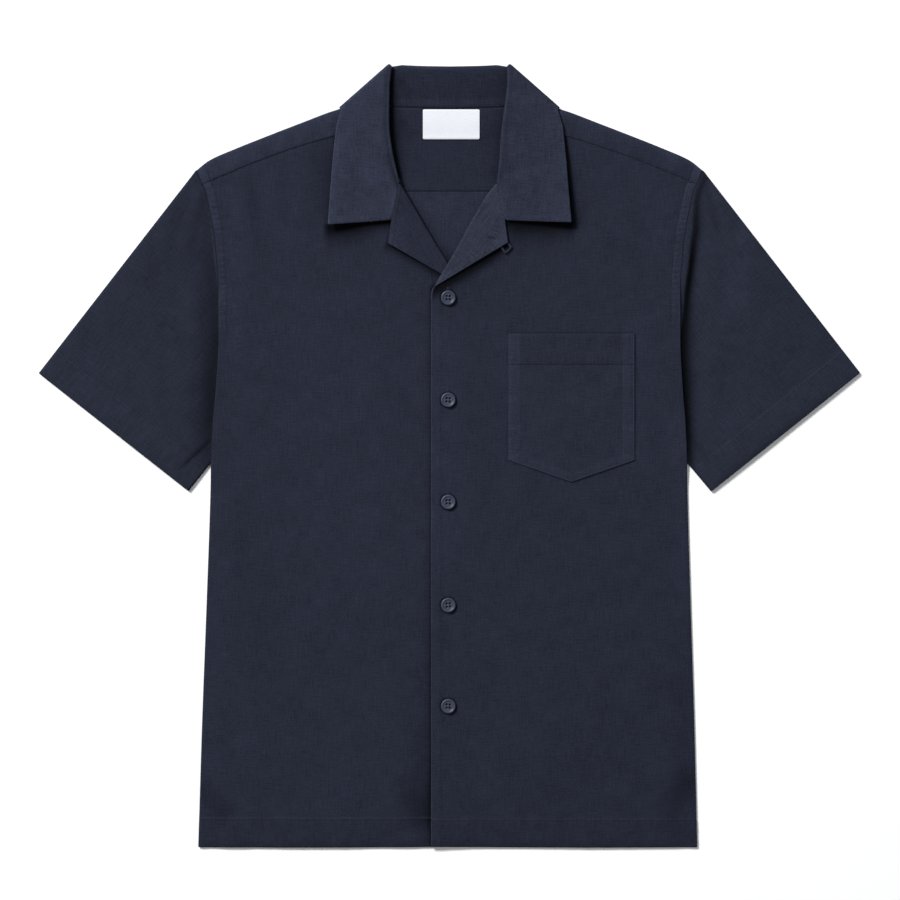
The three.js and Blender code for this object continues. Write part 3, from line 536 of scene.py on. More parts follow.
def smooth_path(rows, steps):
    """A Catmull-Rom curve through a short list of places."""
    p = np.asarray(rows, float)
    p = np.concatenate([[2 * p[0] - p[1]], p, [2 * p[-1] - p[-2]]])
    out = []
    for a, b, c, d in zip(p, p[1:], p[2:], p[3:]):
        for t in np.linspace(0, 1, steps, endpoint=False):
            out.append(0.5 * (
                2 * b + (c - a) * t + (2 * a - 5 * b + 4 * c - d) * t * t + (3 * b - a - 3 * c + d) * t**3
            ))
    out.append(p[-2])
    return np.array(out)


def stitch_row(name, tree, paths, material, pitch=1.9, length=1.45, width=0.34, rise=0.2, below=40.0):
    """Rows of stitches, each one a small rounded bead of thread lying on the cloth."""
    points, faces = [], []
    random = np.random.default_rng(len(name) * 7 + 3)
    for path in paths:
        places, along = walk(path, pitch, pitch / 2)
        for (x, y), (dx, dy) in zip(places[:, :2], along[:, :2]):
            hit, up = ground(tree, x, y, below)
            if hit is None:
                continue
            forward = np.array((dx, dy, 0.0))
            forward = unit(forward - up * forward.dot(up))
            across = np.cross(up, forward)
            half = length / 2 * random.uniform(0.9, 1.06)
            centre = hit + across * random.uniform(-0.06, 0.06)
            base = len(points)
            points.append(centre - forward * half - up * 0.12)
            for shift in (-0.65, 0.65):
                for angle in np.linspace(0, math.pi, 5):
                    side = across * math.cos(angle) * width / 2 + up * (math.sin(angle) * rise - 0.04)
                    points.append(centre + forward * half * shift + side)
            points.append(centre + forward * half - up * 0.12)
            for k in range(4):
                faces.append((base, base + 2 + k, base + 1 + k))
                faces.append((base + 1 + k, base + 2 + k, base + 7 + k, base + 6 + k))
                faces.append((base + 6 + k, base + 7 + k, base + 11))
    thing = add_mesh(name, np.array(points), faces, material)


# Shader groups and materials
def new_group(name, inputs, outputs):
    group = bpy.data.node_groups.new(name, "ShaderNodeTree")
    for title, kind, value in inputs:
        socket = group.interface.new_socket(name=title, in_out="INPUT", socket_type=kind)
        socket.default_value = value
    for title, kind in outputs:
        group.interface.new_socket(name=title, in_out="OUTPUT", socket_type=kind)
    return group, group.nodes.new("NodeGroupInput"), group.nodes.new("NodeGroupOutput")


def math_node(tree, operation, *values):
    node = tree.nodes.new("ShaderNodeMath")
    node.operation = operation
    for socket, value in zip(node.inputs, values):
        if isinstance(value, (int, float)):
            socket.default_value = value
        else:
            tree.links.new(value, socket)
    return node.outputs[0]


def noise(tree, vector, scale, detail=2.0, roughness=0.5):
    node = tree.nodes.new("ShaderNodeTexNoise")
    for title, value in (("Scale", scale), ("Detail", detail), ("Roughness", roughness)):
        node.inputs[title].default_value = value
    tree.links.new(vector, node.inputs["Vector"])
    return node.outputs["Fac"]


def stretched(tree, vector, x, y):
    node = tree.nodes.new("ShaderNodeMapping")
    node.inputs["Scale"].default_value = (x, y, 1)
    tree.links.new(vector, node.inputs["Vector"])
    return node.outputs["Vector"]


WARP_PITCH = 0.00052
WEFT_PITCH = 0.00056
FINE_STRENGTH = 1.35


def woven_linen_group():
    """Plain-woven linen: yarns that go over and under, thick slubs both ways, and a soft uneven dye."""
    group, enter, leave = new_group(
        "woven_linen",
        [("Yarn", "NodeSocketColor", (0.02, 0.023, 0.037, 1)), ("Slubs", "NodeSocketFloat", 0.5),
         ("Dye", "NodeSocketFloat", 0.25)],
        [("Colour", "NodeSocketColor"), ("Height", "NodeSocketFloat")],
    )
    grain = group.nodes.new("ShaderNodeUVMap")
    grain.uv_map = "grain"
    uv = grain.outputs["UV"]
    split = group.nodes.new("ShaderNodeSeparateXYZ")
    group.links.new(uv, split.inputs[0])
    warp = math_node(group, "SINE", math_node(group, "MULTIPLY", split.outputs["X"], math.pi / WARP_PITCH))
    weft = math_node(group, "SINE", math_node(group, "MULTIPLY", split.outputs["Y"], math.pi / WEFT_PITCH))
    over = math_node(group, "MULTIPLY", warp, weft)
    slub_across = noise(group, stretched(group, uv, 75, 900), 1.0, 2.0, 0.6)
    slub_along = noise(group, stretched(group, uv, 800, 60), 1.0, 2.0, 0.6)
    slubs = math_node(group, "MULTIPLY", math_node(group, "ADD", slub_across, slub_along), 0.5)
    cloud = noise(group, uv, 42.0, 3.0, 0.6)
    fine = noise(group, uv, 850.0, 2.0, 0.6)
    value = 1.0
    parts = ((fine, FINE_STRENGTH), (slubs, enter.outputs["Slubs"]), (cloud, enter.outputs["Dye"]))
    for pattern, strength in parts:
        value = math_node(group, "MULTIPLY_ADD", math_node(group, "SUBTRACT", pattern, 0.5), strength, value)
    # The tone attribute scales the colour: seam marks, and painted light and shade
    tone = group.nodes.new("ShaderNodeAttribute")
    tone.attribute_name = "tone"
    scaled = group.nodes.new("ShaderNodeVectorMath")
    scaled.operation = "SCALE"
    group.links.new(enter.outputs["Yarn"], scaled.inputs[0])
    group.links.new(math_node(group, "MULTIPLY", value, tone.outputs["Fac"]), scaled.inputs["Scale"])
    group.links.new(scaled.outputs["Vector"], leave.inputs["Colour"])
    group.links.new(math_node(group, "MULTIPLY_ADD", over, 0.35, slubs), leave.inputs["Height"])
    return group


WOVEN = woven_linen_group()


def new_material(name, roughness, specular):
    material = bpy.data.materials.new(name)
    material.use_nodes = True
    tree = material.node_tree
    shader = tree.nodes["Principled BSDF"]
    shader.inputs["Roughness"].default_value = roughness
    shader.inputs["Specular IOR Level"].default_value = specular
    return material, tree, shader


def add_bump(tree, shader, height, strength, distance):
    relief = tree.nodes.new("ShaderNodeBump")
    relief.inputs["Strength"].default_value = strength
    relief.inputs["Distance"].default_value = distance
    tree.links.new(height, relief.inputs["Height"])
    tree.links.new(relief.outputs["Normal"], shader.inputs["Normal"])


def add_ramp(tree, shader, factor, low, high, start=0.0, end=1.0):
    """The base colour goes from low to high with a pattern."""
    ramp = tree.nodes.new("ShaderNodeValToRGB")
    for element, position, colour in zip(ramp.color_ramp.elements, (start, end), (low, high)):
        element.position = position
        element.color = (*colour, 1)
    tree.links.new(factor, ramp.inputs["Fac"])
    tree.links.new(ramp.outputs["Color"], shader.inputs["Base Color"])


def own_places(tree):
    return tree.nodes.new("ShaderNodeTexCoord").outputs["Object"]


def linen(name, yarn, slubs=1.35, dye=0.42):
    """Dyed linen in one shade, on the shirt's woven group."""
    material, tree, shader = new_material(name, 0.9, 0.05)
    cloth = tree.nodes.new("ShaderNodeGroup")
    cloth.node_tree = WOVEN
    cloth.inputs["Yarn"].default_value = (*yarn, 1)
    cloth.inputs["Slubs"].default_value = slubs
    cloth.inputs["Dye"].default_value = dye
    tree.links.new(cloth.outputs["Colour"], shader.inputs["Base Color"])
    add_bump(tree, shader, cloth.outputs["Height"], 0.4, 0.00025)
    shader.inputs["Sheen Weight"].default_value = 0.02
    shader.inputs["Sheen Roughness"].default_value = 0.45
    shader.inputs["Sheen Tint"].default_value = (0.72, 0.8, 1.0, 1)
    return material


def thread_material(name, colour):
    material, tree, shader = new_material(name, 0.6, 0.3)
    speckle = noise(tree, own_places(tree), 900.0, 1.0)
    add_ramp(tree, shader, speckle, [c * 0.75 for c in colour], [c * 1.25 for c in colour])
    return material


def button_material():
    """Moulded navy plastic with a satin finish and faint swirls."""
    material, tree, shader = new_material("button_plastic", 0.42, 0.42)
    swirl = noise(tree, own_places(tree), 260.0, 4.0, 0.6)
    add_ramp(tree, shader, swirl, (0.027, 0.034, 0.060), (0.042, 0.052, 0.088), 0.3, 0.7)
    return material


def label_material():
    """White woven satin, with fine ribs across the label."""
    material, tree, shader = new_material("label_satin", 0.5, 0.3)
    thread = noise(tree, stretched(tree, own_places(tree), 160, 2400), 1.0, 1.0)
    add_ramp(tree, shader, thread, (0.62, 0.64, 0.69), (0.76, 0.78, 0.83))
    add_bump(tree, shader, thread, 0.25, 0.0001)
    return material


# The collar's and the left lapel's linen are lighter copies: painted light, as these faces turn towards the
# key lamp
body_linen = linen("body_linen", (0.0168, 0.0198, 0.0331))
sleeve_linen = linen("sleeve_linen", (0.0169, 0.0200, 0.0329))
collar_linen = linen("collar_linen", (0.0217, 0.0255, 0.0427), slubs=1.6, dye=0.6)
lining_linen = linen("lining_linen", (0.0152, 0.0180, 0.0305))
pocket_linen = linen("pocket_linen", (0.0176, 0.0206, 0.0340))
lapel_linens = {
    "right": linen("lapel_right_linen", (0.0163, 0.0192, 0.0323)),
    "left": linen("lapel_left_linen", (0.0242, 0.0280, 0.0455), slubs=1.9, dye=0.7),
}
navy_thread = thread_material("navy_thread", (0.020, 0.024, 0.041))
light_thread = thread_material("light_thread", (0.036, 0.042, 0.065))
# Near-black thread that also paints the shade of needle holes and buttonholes
dark_thread = thread_material("dark_thread", (0.004, 0.005, 0.009))
button_thread = thread_material("button_thread", (0.009, 0.011, 0.020))
white_thread = thread_material("white_thread", (0.72, 0.73, 0.76))
button_plastic = button_material()
label_satin = label_material()


# Fronts
def front_table(stations):
    """Rows of a front's table at fractional stations, as named columns."""
    whole = np.arange(len(front_rows))
    return dict(zip(FRONT_COLUMNS, (np.interp(stations, whole, values)[:, None] for values in front_rows.T)))


def front_station(outer):
    """The fractional row of the table at a height of the side seam."""
    return np.interp(outer, front_rows[:, 0], np.arange(len(front_rows)))


def front_relief(side, x, y, from_side, from_inner, outer):
    """Fine unevenness of a front: soft ripples, and puckers beside its seams."""
    seed = halves[side]["front_seed"]
    calm = ease(from_side / 14) * ease((from_inner - 3) / 14)
    relief = (0.34 * ripples(x, y * 0.8, 66, seed) + 0.12 * ripples(x, y, 24, seed + 1)) * calm
    armhole = ease((y - BAND_END) / BAND_FADE)
    gathers = 0.26 * puckers(y, 5.8, seed + 2) * bell(from_side - 4.6, 3.2)
    gathers += 0.16 * puckers(y, 11, seed + 3) * bell(from_side - 13, 8)
    relief += armhole * (gathers - 0.3 * bell(from_side - TOPSTITCH, 0.7))
    below_yoke = FRONT_TOP - outer
    relief += 0.17 * puckers(x, 9, seed + 4) * bell(below_yoke, 9) * ease(from_side / 10)
    relief -= 0.15 * bell(below_yoke - 1.5, 1.5)
    hem = fade((outer - HEM_DEPTH - 3) / 4)
    relief += hem * 0.09 * puckers(x - 0.5 * y, 7.5, seed + 5) * ease(outer / 5)
    relief -= 0.28 * bell(outer - HEM_DEPTH - 1.6, 0.9) * (0.7 + 0.3 * wander(x, 30, seed))
    edge = fade((from_inner - 11) / 2) * fade((y - BREAK) / 10)
    relief += edge * (0.08 * ripples(x, y, 17, seed + 6) - 0.12 * bell(from_inner - 9.3, 0.8))
    if side == "right":
        low = 0.35 + 0.65 * fade((y - 20) / 110)
        relief -= 1.0 * low * fade((from_inner - 31) / 26) * fade((y - BREAK + 15) / 20)
    else:
        for button_y in button_rows:
            relief -= 0.35 * bell(np.hypot(from_inner + FRONT_EDGE - BUTTON_X, y - button_y), 9)
    return relief


def front_surface(side, row, from_side, from_inner, x, y):
    middle = row["middle"]
    height = middle + (row["side"] - middle) * fade(from_side / SIDE_REACH)
    height = height + (row[side] - middle) * fade(from_inner / row["reach"])
    soft = ease(from_side / SIDE_REACH) * ease((from_inner - 20) / SIDE_REACH)
    relief = front_relief(side, x, y, from_side, from_inner, row["outer"])
    return height + spots(folds, x, y) * soft + relief


def front_height(side, x, y):
    """A front's height at places below the break, where its rows are level."""
    row = {name: value.reshape(y.shape) for name, value in front_table(front_station(y.ravel())).items()}
    sign = halves[side]["sign"]
    return front_surface(side, row, np.abs(body_edge(sign, y) - x), sign * x - FRONT_EDGE, x, y)


def front_span(side, row):
    """Where the rows of a front begin and end, and how long they are."""
    half = halves[side]
    start = body_edge(half["sign"], row["outer"])
    end = half["sign"] * inner_edge(half, row["inner"])
    return start, end, np.hypot(start - end, row["outer"] - row["inner"])


def front_places(side, row, from_side):
    start, end, length = front_span(side, row)
    t = from_side / length
    x = lerp(start, end, t)
    y = lerp(row["outer"], row["inner"], t) + row["bow"] * hump(t)
    return x, y, front_surface(side, row, from_side, length - from_side, x, y)


def front_line_point(side, share):
    """A place on a front's top row, by its share of the way from the side to the inner end."""
    row = front_table(np.array([len(front_rows) - 1.0]))
    length = front_span(side, row)[2]
    return np.array([value.item() for value in front_places(side, row, length * (1 - share))])


def pocket_outline(x, y):
    """Distance outside the pocket's edge."""
    half_width = POCKET_WIDTH / 2
    slope = (pocket["corner"] - pocket["point"]) / half_width
    aside = np.abs(x - POCKET_MIDDLE)
    low = (pocket["point"] + aside * slope - y) / math.hypot(1, slope)
    return np.maximum(np.maximum(aside - half_width, y - pocket["top"]), low)


def front_stations(side):
    """Fractional rows down a front: closer at the hem, the neck and the left front's buttons."""
    stations = [0.0]
    for k in range(len(front_rows) - 1):
        gap = (front_rows[k + 1, :2] - front_rows[k, :2]).max()
        count = max(1, math.ceil(gap / (1.3 if k < 1 or k > 10 else 2.6 if k < 5 else 1.8)))
        stations += [k + (step + 1) / count for step in range(count)]
    if side == "left":
        for button_y in button_rows:
            inside = front_station(np.arange(button_y - 10.5, button_y + 10.6, 1.25))
            stations = [s for s in stations if not inside[0] < s < inside[-1]] + list(inside)
    stations += [len(front_rows) - 1 - down / FRONT_LAST_ROW for down in (0.35, 0.7, 1.1, 1.6)]
    return np.unique(np.array(stations))


def front_tone(side, x, y, outer, from_side, from_inner):
    """How light the dyed cloth is: stitched seams, painted highlights on its edges, and painted shade under
    and beside what lies on it.
    """
    half = halves[side]
    below_break = fade((y - BREAK) / 8)
    armhole = ease((y - BAND_END) / BAND_FADE)
    upper = ease((y - 525) / 30)
    # A painted highlight along the front's edge, then a pressed line beside it
    tone = 1 + 0.46 * bell(from_inner, 0.55) * below_break * (0.75 + 0.25 * wander(y, 20, 19))
    tone += below_break * (0.05 * fade((from_inner - 8.5) / 1) - 0.09 * bell(from_inner - 9.3, 0.9))
    tone -= 0.22 * armhole * bell(from_side - TOPSTITCH, 0.6)
    tone += armhole * (0.12 + 0.16 * ease((y - 590) / 40)) * fade((from_side - 7.2) / 1.2)
    # Painted light and shade on the band's puckers, a painted highlight on the side's lower edge and a
    # painted shadow in the seam above it
    tone += 0.13 * armhole * ease((y - 450) / 60) * puckers(y, 5.8, 12) * bell(from_side - 4.4, 2.6)
    tone += 0.2 * armhole * (1 - upper) * bell(from_side - 0.5, 0.9) - 0.4 * upper * bell(from_side, 0.4)
    tone -= 0.2 * bell(outer - HEM_DEPTH - 0.2, 0.7) - 0.1 * bell(outer - HEM_DEPTH - 2.2, 0.8)
    tone -= 0.05 * fade((outer - 26) / 1)
    # Painted light and shade on the hem's puckers, and painted shade under the yoke's edge and along the
    # hem's edge
    tone += 0.06 * puckers(x - 0.5 * y, 7.5, half["hem_seed"]) * bell(outer - HEM_DEPTH + 3, 4)
    tone -= 0.5 * bell(FRONT_TOP - outer, 0.8) + 0.25 * bell(outer - 0.4, 0.8)
    if side == "right":
        # Painted shadow beside the left front's edge, darker towards the hem, a painted shaded wedge above
        # the hem, and painted shade and light along a crease at the break
        beside = FRONT_EDGE - x
        low = 0.45 + 0.3 * fade((y - 60) / 260)
        tone -= below_break * (cast(beside, low * 0.6, 6, 0, 1.2) + cast(beside, 0.12 + low * 0.6, 1.2))
        wedge = fade((y - 40) / 34) * ease((y - 10) / 16)
        tone -= 0.3 * wedge * fade((beside - 13) / 14) * ease(beside / 3)
        tone -= 0.14 * bell(y - 62, 22) * cast(beside, 1, 14)
        tone -= 0.3 * spots(break_shades, x, y)
        clear = 1
    else:
        # Painted shadow round each button and round the pocket
        for button_y in button_rows:
            tone -= 0.8 * fade((np.hypot(x - BUTTON_X, y - button_y) - 7.2) / 2.2)
        tone -= 0.24 * bell(pocket_outline(x, y) - 1.0, 0.8)
        clear = ease((from_inner - 0.4) / 1.4)
    tone *= 1 - leaf_shade(side, x, y) * np.maximum(clear, ease((y - BREAK - 1) / 4))
    return tone * (1 + spots(shades, x, y))


def front(side):
    sign = halves[side]["sign"]
    row = front_table(front_stations(side))
    outer = row["outer"]
    length = front_span(side, row)[2]
    near = np.array([0, 0.5, 1.2, 2.2, 3.4, 4.8, 6.2, 7.3, 8.0, 8.7, 10.2, 12.2])
    last = np.array([
        40.5, 38.4, 36.9, 35.9, 35.3, 34.7, 34, 33, 32, 30, 27.8, 26.4, 25.2, 24, 22.8, 21.6, 20.4, 19.2,
        18, 16.8, 15.6, 14.4, 13.2, 12, 10.8, 10, 9.3, 8.6, 7.6, 6.2, 4.6, 3, 1.8, 0.9, 0.3, 0,
    ])
    inside = np.linspace(0, 1, 66)[None, 1:-1]
    from_side = np.concatenate([near + 0 * outer, lerp(near[-1], length - last[0], inside), length - last], 1)
    from_inner = length - from_side
    x, y, z = front_places(side, row, from_side)
    z -= fade((y - 356) / 26) * 0.62 * (1 - clamp(from_side / 3.2)) ** 2
    z -= 1.1 * (1 - clamp((outer - 0.6) / 9)) ** 2 * ease((from_side - 2) / 12)
    z = np.maximum(z, 1.15 + 0.35 * ease(from_side / 20))
    grid = np.stack([x, y, z], -1)
    hem = (outer < HEM_DEPTH) * 0.3
    band = ease((y - BAND_END) / BAND_FADE) * fade((from_side - 7.6) / 0.7) * 0.3
    placket = fade((from_inner - 10) / 1.2) * fade((y - BREAK) / 8) * 0.25
    plies = np.maximum(hem, band) + placket
    tone = front_tone(side, x, y, outer, from_side, from_inner)
    thing = shell(f"front_{side}_linen", grid, body_linen, flip=sign > 0, extra=plies, tone=tone)
    return laid(thing, f"front_{side}", flat=(0.262, 0.712), held="laid", rests_on=["back"],
                area=cloth_area(grid))


# Back
# Soft rises under the back: a place, how it slants, how long it is, its width and its rise
back_rises = [
    (-90, 300, 0.25, 0.22, 14, 0.45), (120, 420, 0.3, 0.25, 12, 0.4), (-20, 150, -0.1, 0.2, 15, 0.35),
]


def back():
    y = np.concatenate([np.linspace(1.6, YOKE_SEAM - 3, 128), [YOKE_SEAM - 1.6, YOKE_SEAM - 0.3]])[:, None]
    left, right = body_edge(-1, y), body_edge(1, y)
    x = lerp(left, right, np.linspace(0, 1, 98)[None, :])
    inside = ease(np.minimum(x - left, right - x) / 30) * ease(y / 30) * ease((YOKE_SEAM - y) / 18)
    lift = 0.32 + 0.3 * ripples(x, y, 120, 5) + 0.12 * ripples(x, y, 48, 6)
    for at_x, at_y, slant, long, width, rise in back_rises:
        lift += rise * bell(np.hypot(x - at_x - slant * (y - at_y), (y - at_y) * long), width)
    z = LOWEST + np.clip(lift, 0, 0.9) * inside * 0.75
    # Painted shade under the yoke's edge and inside the neck
    tone = (1.25 - 0.2 * bell(YOKE_SEAM - y, 1.0)) * (1 - neck_shade(x, y))
    grid = np.stack([x, y + 0 * x, z], -1)
    thing = shell("back_linen", grid, lining_linen, tone=tone)
    return laid(thing, "back", flat=(0.487, 0.639), held="laid", area=cloth_area(grid))


# Yoke
YOKE_UP = 30
YOKE_TURNS = 8
YOKE_FLAP = 16


def yoke_height(x, y):
    """How high the yoke's lower layer lies: one layer higher where the back of the collar is under it."""
    return FIRST + LAYER * ease((y - 688) / 24) * fade((np.abs(x) - 112) / 25)


def yoke_column(x):
    """Places from the back seam up, round the shoulder's fold and down to the front's seam."""
    neck, end = shoulder_rows[0, 0], shoulder_rows[-1, 0]
    sign = -1 if x < 0 else 1
    away = abs(x)
    beside = away < neck
    share = 0 if beside else (away - neck) / (end - neck)
    seam_x = away if beside else lerp(neck, float(body_edge(1, YOKE_SEAM)), share)
    top_y = float(read(back_neck_rows if beside else shoulder_rows, 1, away))
    tilt = float(read(shoulder_rows, 1, away + 1) - read(shoulder_rows, 1, away - 1))
    run = min(end, away + 1) - max(neck, away - 1)
    out = np.zeros(3) if beside else unit(np.array((-tilt, run, 0)))
    top = np.array((away, top_y, 0)) - out * ROLL_REACH
    places = []
    for t in np.linspace(0, 1, YOKE_UP + 1):
        at_x, at_y = lerp(seam_x, top[0], t), lerp(YOKE_SEAM, top[1], t)
        lift = 0.12 * float(ripples(sign * at_x, at_y, 40, 71)) * float(hump(t))
        places.append((sign * at_x, at_y, float(yoke_height(at_x, at_y)) - 0.05 + max(lift, 0)))
    if beside:
        return places + [NOWHERE] * (YOKE_TURNS + YOKE_FLAP)
    centre = float(yoke_height(top[0], top[1])) + ROLL
    for angle in np.linspace(-math.pi / 2, math.pi / 2, YOKE_TURNS + 1)[1:]:
        reach = ROLL * math.cos(angle)
        at_x, at_y = top[0] + out[0] * reach, top[1] + out[1] * reach
        places.append((sign * at_x, at_y, centre + ROLL * math.sin(angle)))
    seam = front_line_point("right" if sign < 0 else "left", share)
    seam[1] -= 0.5
    start = np.array((sign * top[0], top[1], centre + ROLL))
    for k in range(1, YOKE_FLAP + 1):
        t = 1 - (1 - k / YOKE_FLAP) ** 1.35
        point = lerp(start, seam, t)
        left = np.linalg.norm(seam - point)
        point[2] = lerp(start[2], seam[2] + 0.55, float(ease(t)))
        point[2] += 0.17 * float(puckers(np.array(away), 8.6, 37 + sign)) * float(bell(left - 3, 6))
        point[2] += 0.16 * float(ripples(point[0], point[1], 30, 73)) * float(hump(t))
        point[2] -= 0.16 * float(bell(left, 0.7))
        places.append(tuple(point))
    return places


def yoke():
    outwards = np.concatenate([
        np.linspace(0, 66, 27), [69.5, 72.4], np.linspace(72.6, 236, 73),
        [237.6, 238.5, 239.1, 239.7, 240.6, 241.8, 243.2, 244.8, 246.2, 247.2],
    ])
    across = np.concatenate([-outwards[:0:-1], outwards])
    grid = np.array([yoke_column(x) for x in across])
    x, y = grid[..., 0], grid[..., 1]
    tone = 1.01 * (1 - neck_shade(x, y))
    # Painted shade along the yoke's edge over the back
    tone[:, 0] *= 0.85
    roll_top = YOKE_UP + YOKE_TURNS
    from_roll = np.linalg.norm(grid - grid[:, roll_top:roll_top + 1], axis=-1)
    from_end = (outwards[-1] - np.abs(across))[:, None] * 1.08
    band = fade((from_end - 7.4) / 1.2)
    # On the flap: a painted highlight along the shoulder's fold, a little darker on the wearer's left half, a
    # lighter band, a darker topstitched line, painted shade at its end, and its edges painted darker as shade
    over = 1.2 + 0.4 * np.exp(-from_roll / 5) + 0.1 * ripples(x, y * 0.4, 26, 74) - 0.1 * (x > 0)
    over += 0.16 * band - 0.34 * bell(from_end - TOPSTITCH - 0.4, 0.7) - 0.3 * bell(from_end, 0.9)
    over[:, -1] += 0.12
    flap = np.arange(grid.shape[1]) >= YOKE_UP + YOKE_TURNS // 2
    thing = shell("yoke_linen", grid, lining_linen, flip=True, extra=0.3 * band * flap,
                  tone=np.nan_to_num(np.where(flap, over, tone), nan=1.0), rim=0.6)
    return laid(thing, "yoke", flat=(0.50, 0.165), held="folded",
                rests_on=["back", "front_right", "front_left"], area=cloth_area(grid))


# Sleeves
# Distance from the armhole, and the height of the sleeve's top there where the seam shows and, further down,
# where the body's own edge hides it
valley_rows = np.array([
    (0, 3.9, 2.2), (1.4, 3.95, 1.9), (2.8, 3.75, 1.65), (4.4, 2.7, 1.5), (6.5, 1.9, 1.45), (9.5, 1.65, 1.5),
    (14, 1.8, 1.75), (20, 2.4, 2.3), (29, 3.4, 3.2), (44, 4.3, 4.2), (90, 4.5, 4.5), (125, 4.2, 4.2),
    (152, 3.9, 3.9), (200, 3.6, 3.6),
])

# The painted shade in the valley beside the armhole: height, width of the lit strip before it, depth and
# reach
valley_shades = {
    "right": np.array([
        (375, 0, 0.4, 14), (388, 0, 0.5, 16), (417, 0, 0.68, 21), (456, 0, 0.7, 21), (495, 0, 0.64, 17),
        (534, 2, 0.48, 15), (573, 6, 0.42, 13), (602, 5, 0.3, 7), (632, 3, 0.25, 4), (650, 2, 0.25, 3),
    ]),
    "left": np.array([
        (375, 0, 0.75, 9), (388, 0, 0.85, 10), (417, 0, 0.94, 11.5), (456, 0.8, 0.94, 14),
        (495, 1.6, 0.92, 13.3), (534, 7.7, 0.9, 8), (573, 10.8, 0.92, 6.3), (602, 10.8, 0.7, 7),
        (632, 5.4, 0.38, 3.5), (650, 3, 0.3, 3),
    ]),
}
SLEEVE_EDGE = 2.1
SLEEVE_TURN = 1.45
SLEEVE_BOTTOM = 60
FAR = 1000
cuff_steps = (0.6, 1.2, 2.2, 4, 7, 10, 13, 16, 19, 22, 24.5, 26.3, 27.1, 27.5)


def sleeve_place(half, around, before_cuff=None, along=None):
    """Places on a sleeve from the shoulder, 0, to the underarm, 1."""
    y = lerp(shoulder_rows[-1, 1], UNDERARM, around)
    sign = half["sign"]
    armhole = np.stack([body_edge(sign, y) + sign * 0.35, y], -1)
    (outer_x, outer_y), (inner_x, inner_y) = half["cuff_outer"], half["cuff_inner"]
    cuff = np.stack([sign * lerp(outer_x, inner_x, around), lerp(outer_y, inner_y, around)], -1)
    length = np.linalg.norm(cuff - armhole, axis=-1, keepdims=True)
    left = before_cuff if along is None else lerp(length, CUFF_DEPTH, along)
    return lerp(armhole, cuff, 1 - left / length), (length - left)[..., 0]


def sleeve_turn(half, key, end, before, high, angles):
    """The sleeve's rounded edge at one end of its width, from the top down or back up."""
    at = sleeve_place(half, np.array([end]), **key)[0][0]
    inner = sleeve_place(half, np.array([before]), **key)[0][0]
    out = unit(at - inner)
    centre = at - out * SLEEVE_TURN
    reach = 1.1 * np.cos(angles)
    height = (high + LOWEST) / 2 + (high - LOWEST) / 2 * np.sin(angles)
    return np.stack([centre[0] + out[0] * reach, centre[1] + out[1] * reach, height], -1)


def sleeve_tone(side, x, y, left, gone, strip, depth, reach):
    """How light the sleeve's top is, with painted shade in the valley beside the armhole."""
    half = halves[side]
    upper = ease((y - 525) / 35)
    ticks = puckers(np.hypot(x - x[0], y - y[0]), 7.5, half["sleeve_seed"] + 6)
    # The cuff a little lighter, with painted light and shade on its puckers
    tone = half["sleeve_tone"] + 0.04 * (left < CUFF_DEPTH) + 0.07 * ticks * bell(left - CUFF_DEPTH + 3, 3.5)
    # A darker line at the cuff's fold, and painted shade at the sleeve's end
    tone -= 0.12 * bell(left - CUFF_DEPTH + 0.5, 0.8) + 0.2 * bell(left, 0.6)
    # In the upper part a painted highlight beside the seam and a painted shadow in it
    tone += upper * (0.12 * bell(gone - 2, 1.8) - 0.35 * bell(gone, 0.4))
    # Painted shade in the valley beside the armhole
    tone *= 1 - cast(gone, depth, reach, strip + 2, 1.8) * ease((gone - strip + 4) / 3)
    tone *= 1 + spots(shades, x, y)
    if side == "right":
        # Painted shade along a crease at the underarm
        crease, along = line_away(x, y, (-233, 397), (-262, 370))
        near = hump(clamp(along * 0.9 + 0.05)) ** 0.4
        tone *= 1 - near * 0.6 * bell(crease, np.where(crease > 0, 1.1, 3.4))
    return tone


